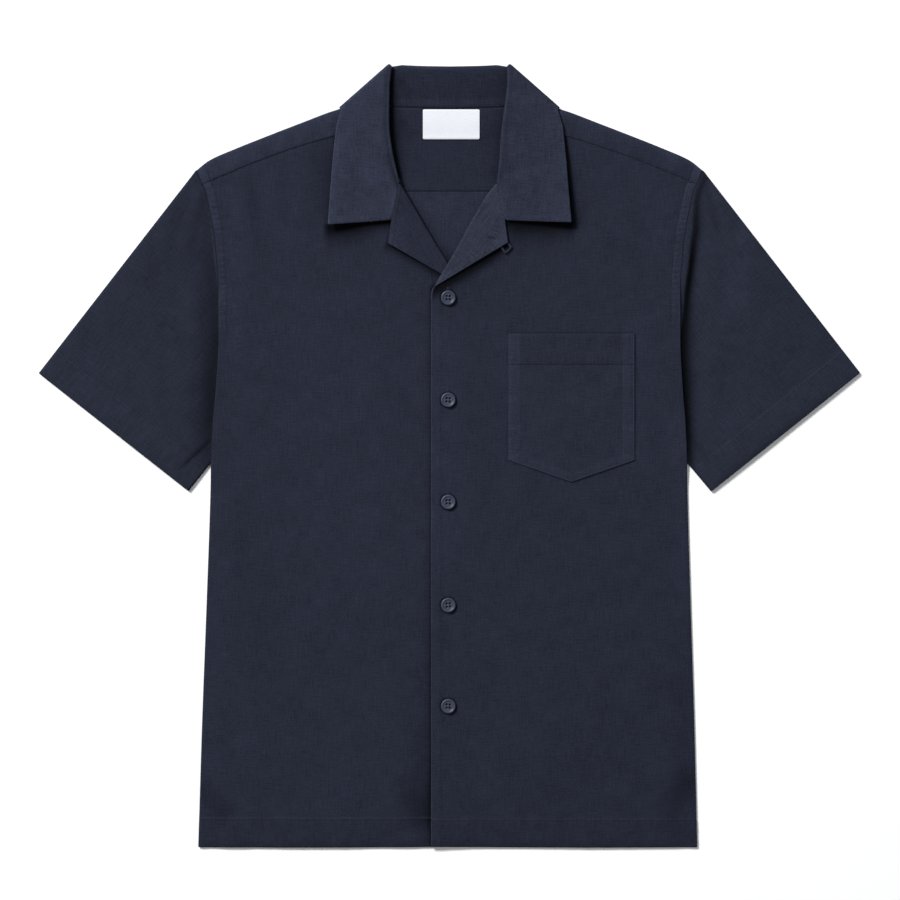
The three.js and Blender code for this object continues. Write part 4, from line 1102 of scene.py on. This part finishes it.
def sleeve(side):
    half = halves[side]
    sign = half["sign"]
    seed = half["sleeve_seed"]
    valley = valley_shades[side]
    first = np.array([0, 0.005, 0.011, 0.018, 0.026, 0.035, 0.046, 0.059, 0.074, 0.092, 0.11])
    stations = [("along", s) for s in np.concatenate([first, np.linspace(0.13, 1, 44)])]
    stations += [("before_cuff", CUFF_DEPTH - s) for s in cuff_steps]
    top = np.concatenate([
        [0.004, 0.012, 0.022, 0.034], np.linspace(0.05, 0.95, 92), [0.966, 0.978, 0.988, 0.996],
    ])
    bottom = np.linspace(0.996, 0.004, SLEEVE_BOTTOM)
    angles = np.radians(np.linspace(90, -90, 9)[1:-1])
    grid, tone, extra = [], [], []
    for kind, value in stations:
        key = {kind: value}
        in_cuff = kind == "before_cuff"
        left = value if in_cuff else FAR * (1 - value) + CUFF_DEPTH
        place, gone = sleeve_place(half, top, **key)
        x, y = place.T
        strip, depth, reach = (column(valley, k, y) for k in (1, 2, 3))
        beyond = np.maximum(gone - np.maximum(strip - 2, 0), 0)
        crown = lerp(read(valley_rows, 2, gone), read(valley_rows, 1, beyond), ease((y - 525) / 35))
        edge = lerp(SLEEVE_EDGE, 3.3, fade(gone / 9) * ease(top / 0.04) * ease((1 - top) / 0.02))
        height = lerp(edge, crown, hump(top) ** 0.4)
        soft = ease(top / 0.1) * ease((1 - top) / 0.08)
        relief = spots(folds, x, y) + 0.3 * ripples(x, y, 48, seed) + 0.1 * ripples(x, y, 20, seed + 1)
        height += soft * ease((gone - 14) / 20) * relief
        height += 0.16 * puckers(y, 8.2, seed + 2) * bell(gone - 3, 4) * soft
        height += 0.12 * puckers(y, 15, seed + 3) * bell(gone - 18, 9) * soft
        if left < CUFF_DEPTH:
            along_hem = np.hypot(x - x[0], y - y[0])
            height += 0.12 * puckers(along_hem, 9, seed + 4) * hump(left / CUFF_DEPTH) * soft
        if in_cuff:
            height -= (height - SLEEVE_EDGE) * 0.75 * (1 - clamp(left / 8)) ** 2
        flat, _ = sleeve_place(half, bottom, **key)
        lift = np.clip(0.25 * ripples(*flat.T, 60, seed + 5), 0, 1) * hump(np.linspace(0, 1, SLEEVE_BOTTOM))
        grid.append(np.concatenate([
            np.stack([x, y, height], -1),
            sleeve_turn(half, key, 1.0, 0.97, height[-1], angles),
            np.column_stack([flat, LOWEST + lift * (0 if in_cuff else 0.8)]),
            sleeve_turn(half, key, 0.0, 0.03, height[0], -angles),
        ]))
        rest = len(grid[-1]) - len(top)
        lit = sleeve_tone(side, x, y, left, gone, strip, depth, reach)
        tone.append(np.concatenate([lit, np.full(rest, 0.95)]))
        ply = 0.25 if left < CUFF_DEPTH - 0.3 else 0
        extra.append([ply] * len(top) + [0] * rest)
    grid = np.array(grid)
    turn = math.atan2(-112.3, sign * 88.7) + math.pi / 2
    thing = shell(f"sleeve_{side}_linen", grid, sleeve_linen, ring=True, flip=sign < 0, extra=np.array(extra),
                  tone=np.array(tone), turn=turn)
    return laid(thing, f"sleeve_{side}", flat=(0.56, 0.235), held="laid", rests_on=["back"],
                area=cloth_area(grid, ring=True))


# Collar
STAND_STEPS = 12
ROLL_TURNS = 8
LEAF_STEPS = 34
LEAF_START = STAND_STEPS + ROLL_TURNS + 1


def collar_section(seam, fold, edge, over, bend=None):
    """Places from the seam up the stand, round the fold and over the leaf, which may bend on its way."""
    points = [lerp(seam, fold - over * ROLL, k / STAND_STEPS) for k in range(STAND_STEPS)]
    towards = fold - (edge if bend is None else bend)
    towards = unit(towards - over * towards.dot(over))
    for angle in np.linspace(0, math.pi, ROLL_TURNS + 1):
        points.append(fold - over * ROLL * math.cos(angle) + towards * ROLL * math.sin(angle))
    start = points[-1]
    for k in range(1, LEAF_STEPS + 1):
        t = 1 - (1 - k / LEAF_STEPS) ** 1.25
        if bend is None:
            points.append(lerp(start, edge, t))
        elif t <= 1 / 3:
            points.append(lerp(start, bend, t * 3))
        else:
            points.append(lerp(bend, edge, (t - 1 / 3) * 1.5))
    return np.array(points)


def inset_fold(fold_x, fold_y, edge_x, edge_y):
    towards = unit(np.array((edge_x - fold_x, edge_y - fold_y, 0.0)))
    return np.array((fold_x, fold_y, 0.0)) + towards * ROLL_REACH


def between(first, last, shares):
    """Sections on the way from one to another."""
    return [first + (last - first) * t for t in shares]


def collar_half(side):
    half = halves[side]
    sections = []
    for seam_x in np.linspace(0, 54, 22):
        fold_x, fold_y, edge_x, edge_y = (float(read(collar_back_rows, k, seam_x)) for k in (1, 2, 3, 4))
        fold = inset_fold(fold_x, fold_y, edge_x, edge_y)
        seam_y = float(read(back_neck_rows, 1, seam_x)) + SIDE_GAP
        sections.append(collar_section(
            np.array((seam_x, seam_y, float(yoke_height(seam_x, seam_y)))),
            np.array((fold[0], fold[1], FOLD_CENTRE - FOLD_TURN)),
            np.array((edge_x, edge_y, FIRST)), -UP,
        ))
    seam_x, seam_y, fold_x, fold_y, edge_x, edge_y = collar_shoulder
    ridge = unit(np.array((edge_x - fold_x, edge_y - fold_y, 0.0)))
    out = np.array((-ridge[1], ridge[0], 0.0))
    seam = np.array((seam_x, seam_y, SEAM_CENTRE)) - out * ROLL_REACH - ridge * (SIDE_GAP + 0.2)
    fold = np.array((fold_x, fold_y, FOLD_CENTRE)) - out * (FOLD_TURN + ROLL_REACH) + ridge * (ROLL_REACH - 1)
    edge = np.array((edge_x, edge_y, EDGE_CENTRE)) - out * (EDGE_TURN + 0.5)
    turned = []
    for angle in np.linspace(-math.pi / 2, math.pi / 2, 15):
        over = out * math.cos(angle) + UP * math.sin(angle)
        places = seam + over * ROLL, fold + over * FOLD_TURN, edge + over * EDGE_TURN
        turned.append(collar_section(*places, over))
    sections += between(sections[-1], turned[0], (0.25, 0.5, 0.75)) + turned
    table = collar_front_rows[::-1]
    rows = []
    for seam_y in np.linspace(722, 664, 26):
        fold_x, fold_y, edge_x, edge_y, edge_z = (float(read(table, k, seam_y)) for k in (1, 2, 3, 4, 5))
        if side == "right":
            fold_x += float(read(fold_lean_rows, 1, seam_y))
        fold = inset_fold(fold_x, fold_y, edge_x, edge_y)
        seam = float(read(front_neck_rows, 1, seam_y)) - SIDE_GAP - 0.2
        rows.append(collar_section(
            np.array((seam, seam_y, float(read(front_neck_rows, 2, seam_y)))),
            np.array((fold[0], fold[1], LEAF_FRONT)), np.array((edge_x, edge_y, edge_z)), UP,
        ))
    sections += between(turned[-1], rows[0], np.linspace(0, 1, 7)[1:-1]) + rows
    gorge_x = float(read(roll_rows, half["column"], GORGE))
    notch_x, notch_y = half["notch"]
    end = inset_fold(gorge_x, GORGE + 1, notch_x + 8, notch_y)
    last = collar_section(
        np.array((end[0] + 1.2, end[1] + 1.6, front_neck_rows[0, 2])), np.array((end[0], end[1], LEAF_FRONT)),
        np.array(half["collar_tip"]), UP,
        np.array((notch_x + 0.2, notch_y + 0.4, LEAF_FRONT + ROLL - 0.2)),
    )
    sections += between(rows[-1], last, np.linspace(0, 1, 19)[1:])
    made = np.array(sections)
    made[..., 0] *= half["sign"]
    return made


def collar():
    grid = np.concatenate([collar_half("right")[::-1], collar_half("left")[1:]])
    x, y = grid[..., 0], grid[..., 1]

    def away_from(other):
        return np.linalg.norm(grid - other, axis=-1)

    steps = np.arange(grid.shape[1])[None, :]
    on_leaf = steps >= LEAF_START
    on_top = (grid[..., 2] > 5.2) & on_leaf
    stand = steps < STAND_STEPS
    to_edge = away_from(grid[:, -1:])
    border = np.minimum(to_edge, np.minimum(away_from(grid[:1]), away_from(grid[-1:])))
    to_tip = np.minimum(np.hypot(x + 117, y - 609), np.hypot(x - 117, y - 610))
    grid[..., 2] += on_top * (
        (0.8 * fade(to_tip / 110) + 1.5) * fade((to_edge - 2) / 34) * ease((730 - y) / 60)
        + 0.3 * ripples(x, y, 46, 91) * ease(border / 12) + 0.12 * ripples(x, y, 17, 92) * ease(border / 5)
        + 0.08 * bell(border - 4.5, 2.2) - 0.07 * bell(border - 7.2, 1.2)
    )
    along_neck = away_from(grid[:, :1])
    grid[..., 2] += stand * 0.1 * puckers(x, 7.5, 93) * bell(along_neck - 4, 5)

    edge_puckers = puckers(x * 0.8 + y * 0.6, 6.5, 97)
    # On the leaf: a paler ridge and a pressed line inside the edge, painted light and shade on the edge's
    # puckers, and paler tips
    tone = 1 + on_top * (
        0.13 * bell(border - 4.8, 2.0) * wander(x + y, 9, 95) - 0.07 * bell(border - 7.2, 1.0)
        + 0.14 * edge_puckers * bell(border - 3.0, 2.6) + 0.22 * np.exp(-to_tip / 9)
    )
    # Painted shade beside the fold on the leaf, deeper on the wearer's right half, and lighter edges
    from_fold = away_from(grid[:, LEAF_START:LEAF_START + 1])
    right_fold = (0.3 + 0.25 * fade((y - 652) / 30)) * bell(from_fold, 4)
    near_fold = np.where(x < 0, right_fold, 0.2 * bell(from_fold, 3))
    tone += on_leaf * (0.3 * bell(border, 1.1) + 0.05 * bell(border, 9) - near_fold)
    to_fold = away_from(grid[:, STAND_STEPS:STAND_STEPS + 1])
    # Inside the neck the stand is painted darker as shade, lighter near its seam and towards the fold, with a
    # darker line at the seam
    in_stand = 0.645 + 0.12 * fade((along_neck - 6.5) / 2) - 0.25 * bell(along_neck, 1.0)
    in_stand += 0.2 * np.exp(-to_fold / 4)
    # The neck's painted shade on the stand; the leaf painted a little lighter on the wearer's right half and
    # darker on the left, as the light falls
    tone = np.where(stand, in_stand * (1 - neck_shade(x, y)), tone * (1 - 0.06 * np.tanh(x / 30)))
    thing = shell("collar_linen", grid, collar_linen, thickness=np.where(on_leaf, 1.05, 0.8), tone=tone,
                  rim=1.1, grain=np.stack([x + 0.05 * np.abs(y - 700), y - np.where(stand, 40, 0)], -1))
    return laid(thing, "collar", flat=(0.47, 0.118), held="folded",
                rests_on=["yoke", "front_right", "front_left"], area=cloth_area(grid))


# Facings
FACING_ROWS = 76
FACING_LEG = 4
FACING_TURNS = 8
LAPEL_STEPS = 34


def facing_row(side, along):
    """Places of one row of a facing: a short leg inside, the roll, and the lapel out to its edge."""
    half = halves[side]
    y = lerp(GORGE - 1.2, BREAK, along)

    def roll_x(at):
        return float(read(roll_rows, half["column"], at))

    span = min(y + 2, GORGE) - max(y - 2, BREAK)
    out = unit(np.array((span, roll_x(y - 2) - roll_x(y + 2), 0.0)))
    centre = np.array((roll_x(y), y, 0.0)) + out * ROLL_REACH
    centre[2] = np.interp(y, front_rows[:, 1], front_rows[:, FRONT_COLUMNS.index(side)])
    roll = lerp(ROLL, 0.5, float(ease((along - 0.86) / 0.14)))
    leg = lerp(8, 3, along)
    drop = 0.3 * (leg / 8) ** 2
    row = [centre + out * leg * t - UP * (roll + drop * t**2) for t in (1, 0.75, 0.5, 0.25)]
    for angle in np.linspace(0, math.pi, FACING_TURNS + 1):
        row.append(centre - out * roll * math.sin(angle) - UP * roll * math.cos(angle))
    start = row[-1]
    tip = half["lapel_tip"]
    outer = np.array((
        lerp(tip[0], FRONT_EDGE, along), lerp(tip[1], BREAK, along),
        lerp(tip[2], half["break_height"], float(ease(along * 1.3))),
    ))
    notch = np.array((half["notch"][0], half["notch"][1] - 0.4, start[2] - 0.2))
    notched = clamp(1 - along * 9 / half["facing_end"])
    for k in range(1, LAPEL_STEPS + 1):
        t = 1 - (1 - k / LAPEL_STEPS) ** 1.2
        bent = lerp(start, notch, t * 1.5) if t <= 2 / 3 else lerp(notch, outer, (t - 2 / 3) * 3)
        row.append(lerp(lerp(start, outer, t), bent, notched))
    return row


def facing(side):
    half = halves[side]
    sign, seed = half["sign"], half["lapel_seed"]
    alongs = np.concatenate([[0, 0.006, 0.014, 0.026], np.linspace(0.04, half["facing_end"], FACING_ROWS)])
    grid = np.array([facing_row(side, along) for along in alongs])
    grid[..., 0] *= sign
    x, y = grid[..., 0], grid[..., 1]
    on_top = (np.arange(grid.shape[1]) >= FACING_LEG + FACING_TURNS)[None, :]
    to_gorge = np.linalg.norm(grid - grid[:1], axis=-1)
    border = np.minimum(np.linalg.norm(grid - grid[:, -1:], axis=-1), to_gorge)
    grid[..., 2] += on_top * (
        0.16 * ripples(x, y, 40, seed) * ease(border / 12) + 0.07 * bell(border - 4, 2)
        - 0.06 * bell(border - 6.6, 1)
    )
    to_tip = np.hypot(x - sign * half["lapel_tip"][0], y - half["lapel_tip"][1])
    # Lighter edges, a pressed line, painted light and shade on the edge's puckers, and paler towards the tip
    marks = 0.16 * bell(border, 0.9) + 0.05 * bell(border - 4, 1.8) - 0.04 * bell(border - 6.6, 1)
    marks += 0.08 * puckers(x + y * 0.5, 6.5, seed + 2) * bell(border - 3.2, 2.4)
    marks += half["lapel_tip_paler"] * np.exp(-to_tip / 11)
    if side == "right":
        marks += 0.14 * bell(to_gorge - 2.4, 1.2) - 0.3 * bell(to_gorge - 4.6, 0.6)
    else:
        # Painted shade in the lapel's buttonhole
        marks -= 0.3 * spots(lapel_hole_shades, x, y)
    thing = shell(f"facing_{side}_linen", grid, lapel_linens[side], thickness=np.where(on_top, 1.0, 0.8),
                  tone=1 + on_top * marks, turn=math.atan2(1, 0.62 * sign) - math.pi / 2)
    return laid(thing, f"facing_{side}", flat=(0.075, 0.125), held="folded", rests_on=[f"front_{side}"],
                area=cloth_area(grid))


# Pocket
POCKET_STRIP = 11.4


def chest_pocket():
    band, top = pocket["band"], pocket["top"]
    edges = np.array([0, 0.4, 0.8, 1.3, 2.0, 3.0, 4.5, 6, 8, 10, 11, 11.5, 12, 12.6, 13.6])
    across = np.concatenate([edges, np.linspace(15, POCKET_WIDTH - 15, 44), POCKET_WIDTH - edges[::-1]])
    x = pocket["inner"] + across
    bottom = lerp(pocket["point"], pocket["corner"], np.abs(x - POCKET_MIDDLE) / (POCKET_WIDTH / 2))[None, :]
    first = [0, 0.004, 0.008, 0.013, 0.02, 0.035, 0.05, 0.07]
    share = np.concatenate([first, np.linspace(0.09, 1, 48)])[:, None]
    high = np.concatenate([
        band + np.array([-1.1, -0.7, -0.3, 0, 0.3, 0.8, 1.5, 2.3]), np.linspace(band + 4, top - 1.6, 10),
        [top - 1.0, top - 0.5, top],
    ])[:, None]
    arch = hump(across / POCKET_WIDTH)[None, :]
    low = lerp(bottom, band - 1.6, share)
    y = np.concatenate([low - 1.2 * arch * share**3, high - 1.2 * arch * fade((high - band) / 10)])
    x = np.broadcast_to(x[None, :], y.shape)
    from_side = np.minimum(across, POCKET_WIDTH - across)[None, :] + 0 * y
    from_bottom = (y - bottom) * 0.94
    border = np.minimum(from_side, from_bottom)
    corner = np.hypot(from_side - 9, from_bottom - 9)
    corner_folds = np.sin((from_side - from_bottom) * 0.9)
    z = front_height("left", x, y) + 0.85 + 0.4 * ease(border / 5)
    z += 0.8 * arch * hump((y - bottom) / (top - bottom) * 0.9)
    z += 0.1 * ripples(x, y, 34, 139) * ease(border / 9)
    gathers = 0.1 * puckers(y, 9, 131) * bell(from_side - 6, 4)
    z += gathers + 0.08 * puckers(x, 9, 137) * bell(from_bottom - 5, 4)
    z -= 0.14 * bell(from_side - 11.8, 0.8) * (y < band) + 0.1 * bell(y - band - 2.4, 0.7)
    z += 0.18 * corner_folds * bell(corner, 6)
    strip = fade((from_side - POCKET_STRIP) / 0.7)
    side_strip = strip * fade((y - band + 1) / 2)
    bottom_strip = fade((from_bottom - 8) / 0.8)
    extra = np.where(y > band - 0.3, 0.3, 0.14 * np.maximum(side_strip, bottom_strip))
    tone = 1 + 0.24 * np.maximum(side_strip * (0.5 + 0.5 * wander(y, 9, 141)), 0.6 * bottom_strip)
    # A faint painted highlight on the edges, a lighter top edge, painted shadow under the band's fold, and
    # painted light and shade on the corner's folds
    tone += 0.03 * bell(border, 0.7) + 0.03 * ripples(x, y, 40, 142)
    tone += 0.1 * bell(y - top + 1, 0.9) - 0.4 * bell(y - band + 0.55, 0.45)
    tone += (0.22 * strip - 0.06) * (y > band) + 0.12 * bell(corner, 5) * corner_folds
    grid = np.stack([x, y, z], -1)
    # Its edges painted dark as shade round the pocket
    thing = shell("pocket_linen", grid, pocket_linen, extra=extra, tone=tone, rim=0.3)
    return laid(thing, "pocket", flat=(0.124, 0.146), held="laid", rests_on=["front_left"],
                area=cloth_area(grid))


# Label and loop
def neck_label():
    s = np.concatenate([[0, 0.006, 0.014], np.linspace(0.03, 0.97, 28), [0.986, 0.994, 1]])[None, :]
    t = np.linspace(0, 1, 18)[:, None]
    x = lerp(label["left"], label["right"], s) + 0 * t
    y = lerp(label["bottom"], label["top"], t) + 0 * s
    cut = 0.5 * bell(np.minimum(s, 1 - s) * 55, 0.6) * (t - 0.5) * 2
    z = yoke_height(x, y) + 0.95 + 0.12 * ripples(x, y, 26, 151) * hump(s) + 0.25 * fade(t / 0.2)
    thing = shell("neck_label_satin", np.stack([x, y - cut, z], -1), label_satin, thickness=0.35)
    return laid(thing, "neck_label", "label", flat=(0.055, 0.029), held="laid", rests_on=["yoke"])


def ribbon(path, width, rise, ridges=0.0, closed=False):
    """A soft rounded band along a path of places with heights, with cross ridges like close stitching."""
    path = np.asarray(path, float)
    ahead = np.roll(path, -1, 0) - np.roll(path, 1, 0)
    if not closed:
        ahead[0] = path[1] - path[0]
        ahead[-1] = path[-1] - path[-2]
    ahead = unit(ahead)
    across = unit(np.stack([-ahead[:, 1], ahead[:, 0], 0 * ahead[:, 0]], 1))
    around = 8
    points = []
    for k, (place, aside) in enumerate(zip(path, across)):
        size = (1 + ridges * (-1) ** k) / 2
        for a in np.linspace(0, 2 * math.pi, around + 1)[:-1]:
            points.append(place + (aside * math.cos(a) * width + UP * math.sin(a) * rise) * size)
    faces = []
    count = len(path)
    for k in range(count if closed else count - 1):
        n = (k + 1) % count
        for a in range(around):
            b = (a + 1) % around
            faces.append((k * around + a, n * around + a, n * around + b, k * around + b))
    if not closed:
        faces.append(tuple(range(around)))
        faces.append(tuple((count - 1) * around + a for a in reversed(range(around))))
    return points, faces


def joined(name, parts, material):
    """Ribbons as one piece of the shirt's own linen or thread."""
    points, faces = [], []
    for more_points, more_faces in parts:
        start = len(points)
        points += [tuple(p) for p in more_points]
        faces += [tuple(start + i for i in f) for f in more_faces]
    points = np.array(points)
    thing = add_mesh(name, points, faces, material, points[:, :2], np.ones(len(points)))
    return thing


def button_loop():
    flat = smooth_path(loop_rows, 8)
    height = halves["left"]["lapel_tip"][2] - LAYER - 0.1
    path = np.column_stack([flat, np.full(len(flat), height)])
    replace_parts(joined("button_loop_linen", [ribbon(path, 2.1, 1.0)], collar_linen), "button_loop")


# Buttons
HOLE_PLACE = 1.55
HOLE_RADIUS = 1.0
HOLE_DEPTH = 1.5
HOLED_RINGS = 14
BUTTON_AROUND = 72
BUTTON_LIFT = 0.62
THREAD_REACH = 2.3
THREAD_HEIGHTS = [0.25, 0.35, 0.4, 0.4, 0.4, 0.35, 0.25]
# The button's turned profile from the middle of the top, round the rim and under: radius and height
button_profile = [
    (0.0, 1.55), (0.35, 1.55), (0.7, 1.55), (1.0, 1.55), (1.25, 1.55), (1.5, 1.55), (1.75, 1.55), (2.0, 1.55),
    (2.25, 1.56), (2.5, 1.57), (2.75, 1.58), (3.0, 1.6), (3.3, 1.62), (3.7, 1.63), (4.1, 1.62), (4.5, 1.58),
    (4.8, 1.6), (5.05, 1.9), (5.35, 2.22), (5.7, 2.38), (6.1, 2.42), (6.5, 2.36), (6.8, 2.2), (7.0, 1.95),
    (7.12, 1.6), (7.2, 1.2), (7.1, 0.75), (6.6, 0.35), (5.6, 0.08), (3.0, 0.0),
]


def button_disc():
    """Points and faces of a turned four-hole button, round the origin, with its base at zero."""
    points, faces = [], []
    for ring, (radius, height) in enumerate(button_profile):
        for k in range(BUTTON_AROUND):
            angle = 2 * math.pi * k / BUTTON_AROUND
            x, y = radius * math.cos(angle), radius * math.sin(angle)
            away = math.hypot(abs(x) - HOLE_PLACE, abs(y) - HOLE_PLACE)
            sunk = HOLE_DEPTH * float(fade((away - HOLE_RADIUS) / 0.2)) if ring < HOLED_RINGS else 0
            points.append((x, y, height - sunk))
    for ring in range(len(button_profile) - 1):
        a, b = ring * BUTTON_AROUND, (ring + 1) * BUTTON_AROUND
        for k in range(BUTTON_AROUND):
            n = (k + 1) % BUTTON_AROUND
            faces.append((a + k, b + k, b + n, a + n))
    faces.append(tuple(b + k for k in reversed(range(BUTTON_AROUND))))
    return np.array(points), faces


def place_on(points, centre, up, turn):
    """Moves points from round the origin to a place, standing along up and turned."""
    side = unit(np.cross((0, 1, 0), up))
    ahead = np.cross(up, side)
    c, s = math.cos(turn), math.sin(turn)
    first, second = side * c + ahead * s, ahead * c - side * s
    return centre + points[:, :1] * first + points[:, 1:2] * second + points[:, 2:] * up


def buttons(tree):
    disc, faces = button_disc()
    threads = []
    for number, (y, degrees) in enumerate(zip(button_rows, button_turns), 1):
        centre, _ = ground(tree, BUTTON_X, y)
        ups = [ground(tree, BUTTON_X + dx, y + dy)[1] for dx in (-5, 0, 5) for dy in (-5, 0, 5)]
        up = unit(np.mean(ups, 0))
        base = centre + up * BUTTON_LIFT
        turn = math.radians(degrees)
        thing = add_mesh(f"button_{number}_disc", place_on(disc, base, up, turn), faces, button_plastic)
        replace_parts(thing, f"button_{number}")
        # Thread through the holes, near-black so that it also paints the shade in the holes
        for shift in (-HOLE_PLACE, HOLE_PLACE):
            along = np.linspace(-THREAD_REACH, THREAD_REACH, len(THREAD_HEIGHTS))
            bar = np.column_stack([0 * along + shift, along, THREAD_HEIGHTS])
            threads.append(ribbon(place_on(bar, base, up, turn), 1.8, 0.5))
    joined("button_threads", threads, dark_thread)


def buttonholes(tree):
    reach, wide = 8.9, 0.95
    parts = []
    for y in button_rows:
        angles = np.linspace(0, 2 * math.pi, 97)
        sines = np.sin(angles)
        ends = np.where(sines > 0, reach, -reach) * np.minimum(1, np.abs(sines) * 6)
        flat = np.column_stack([BUTTON_X + wide * np.cos(angles), y + wide * sines + ends])
        flat[-1] = flat[0]
        path = [(px, py, ground(tree, px, py)[0][2] + 0.02) for px, py in walk(flat, 0.45)[0]]
        parts.append(ribbon(path, 0.9, 0.45, ridges=0.2, closed=True))
    joined("buttonhole_stitching", parts, button_thread)


back()
fronts = {side: front(side) for side in halves}
yoke_piece = yoke()
sleeves = {side: sleeve(side) for side in halves}
facings = {side: facing(side) for side in halves}
collar_piece = collar()
pocket_piece = chest_pocket()
label_piece = neck_label()
button_loop()

# Sewing
front_tree = tree_of(fronts["right"], fronts["left"])
pocket_tree = tree_of(pocket_piece)
yoke_tree = tree_of(yoke_piece)
buttons(front_tree)
buttonholes(front_tree)

hem_y = HEM_DEPTH + 1.4
hem_paths = [
    [(float(body_edge(-1, hem_y)) + 1, hem_y + 1.2), (-17.5, hem_y + 1.2)],
    [(-16.2, hem_y), (float(body_edge(1, hem_y)) - 1, hem_y)],
]
stitch_row("hem_stitches", front_tree, hem_paths, light_thread)

ys = np.linspace(BAND_END + 20, 646, 60)
armhole_paths = [np.column_stack([body_edge(sign, ys) - sign * TOPSTITCH, ys]) for sign in (-1, 1)]
stitch_row("armhole_stitches", front_tree, armhole_paths, light_thread, pitch=2.1, length=1.2)

arounds = np.linspace(0.015, 0.985, 60)
cuff_paths = [sleeve_place(half, arounds, before_cuff=CUFF_DEPTH)[0] for half in halves.values()]
stitch_row("cuff_stitches", tree_of(sleeves["right"], sleeves["left"]), cuff_paths, light_thread, pitch=2.1)

turns = np.linspace(0, 2 * math.pi, 33)
lapel_hole = np.column_stack([
    40.6 + 3.6 * np.cos(turns) + 0.6 * np.sin(turns), 594.9 - 1.0 * np.cos(turns) + 0.9 * np.sin(turns),
])
stitch_row("lapel_buttonhole_stitches", tree_of(facings["left"]), [lapel_hole], dark_thread, pitch=1.1,
           length=0.95, width=0.85, rise=0.3)

inner, outer = pocket["inner"] + 1.1, pocket["outer"] - 1.1
top, corner, band = pocket["top"] - 1, pocket["corner"] + 0.6, pocket["band"] + 2
point = (POCKET_MIDDLE, pocket["point"] + 1.4)
edge_path = [(inner, top), (inner, corner), point, (outer, corner), (outer, top)]
stitch_row("pocket_edge_stitches", pocket_tree, [edge_path], light_thread, length=1.3)
band_paths = [[(68.7, band + 0.4), (174, band + 0.4)]] + [[(x, band), (x, top)] for x in (63.9, 174.5)]
stitch_row("pocket_band_stitches", pocket_tree, band_paths, dark_thread, length=1.0, width=0.5)

xs = np.linspace(-53, 53, 50)
neck_path = np.column_stack([xs, read(back_neck_rows, 1, np.abs(xs)) + 2.2])
stitch_row("neck_stitches", tree_of(collar_piece), [neck_path], light_thread, pitch=2.0, length=1.2, below=6)
seam_path = [(-46, YOKE_SEAM + 1.6), (46, YOKE_SEAM + 1.6)]
stitch_row("yoke_inside_stitches", yoke_tree, [seam_path], navy_thread, pitch=2.1)
flap_paths = [
    [front_line_point(side, share)[:2] + (0, 1.3) for share in np.linspace(0.3, 0.985, 40)] for side in halves
]
stitch_row("yoke_front_stitches", yoke_tree, flap_paths, dark_thread, pitch=2.0, length=1.0)
label_rows = (label["top"] - 1, label["bottom"] + 1)
label_paths = [[(label["left"] + 1, y), (label["right"] - 1, y)] for y in label_rows]
stitch_row("label_stitches", tree_of(label_piece), label_paths, white_thread, pitch=1.6, length=1.1,
           width=0.22, rise=0.12)

# Floor, light and camera
FLOOR_REACH = 9
FLOOR_DROP = 0.0003
CAMERA_HEIGHT = 2.0759

corners = [(x * FLOOR_REACH, y * FLOOR_REACH, 0) for x, y in ((-1, -1), (1, -1), (1, 1), (-1, 1))]
floor_mesh = bpy.data.meshes.new("floor")
floor_mesh.from_pydata(corners, [], [(0, 1, 2, 3)])
floor = bpy.data.objects.new("floor", floor_mesh)
bpy.context.scene.collection.objects.link(floor)
floor.location.z = -FLOOR_DROP
floor_paint, _, floor_shader = new_material("floor_paint", 0.9, 0.1)
floor_shader.inputs["Base Color"].default_value = (0.96, 0.96, 0.96, 1)
floor_mesh.materials.append(floor_paint)


def area_light(name, place, aim, size, power):
    lamp = bpy.data.lights.new(name, "AREA")
    lamp.shape = "SQUARE"
    lamp.size = size
    lamp.energy = power
    thing = bpy.data.objects.new(name, lamp)
    bpy.context.scene.collection.objects.link(thing)
    thing.location = place
    thing.rotation_euler = (Vector(aim) - Vector(place)).to_track_quat("-Z", "Y").to_euler()


area_light("key", (-3.3, 3.5, 3.7), (0, 0.02, 0), 1.6, 520)
area_light("fill", (2.6, -1.2, 3.6), (0, 0, 0), 2.4, 22)

world = bpy.data.worlds.new("studio")
world.use_nodes = True
sky = world.node_tree.nodes["Background"]
sky.inputs["Color"].default_value = (0.96, 0.98, 1.0, 1)
sky.inputs["Strength"].default_value = 0.27
scene = bpy.context.scene
scene.world = world
scene.view_settings.view_transform = "Standard"
scene.view_settings.look = "None"

camera_data = bpy.data.cameras.new("camera")
camera_data.lens = 85
camera_data.sensor_width = 36
camera = bpy.data.objects.new("camera", camera_data)
scene.collection.objects.link(camera)
camera.location = (0.0005, 0.0058, CAMERA_HEIGHT)
camera.rotation_euler = (0, 0, 0)
scene.camera = camera
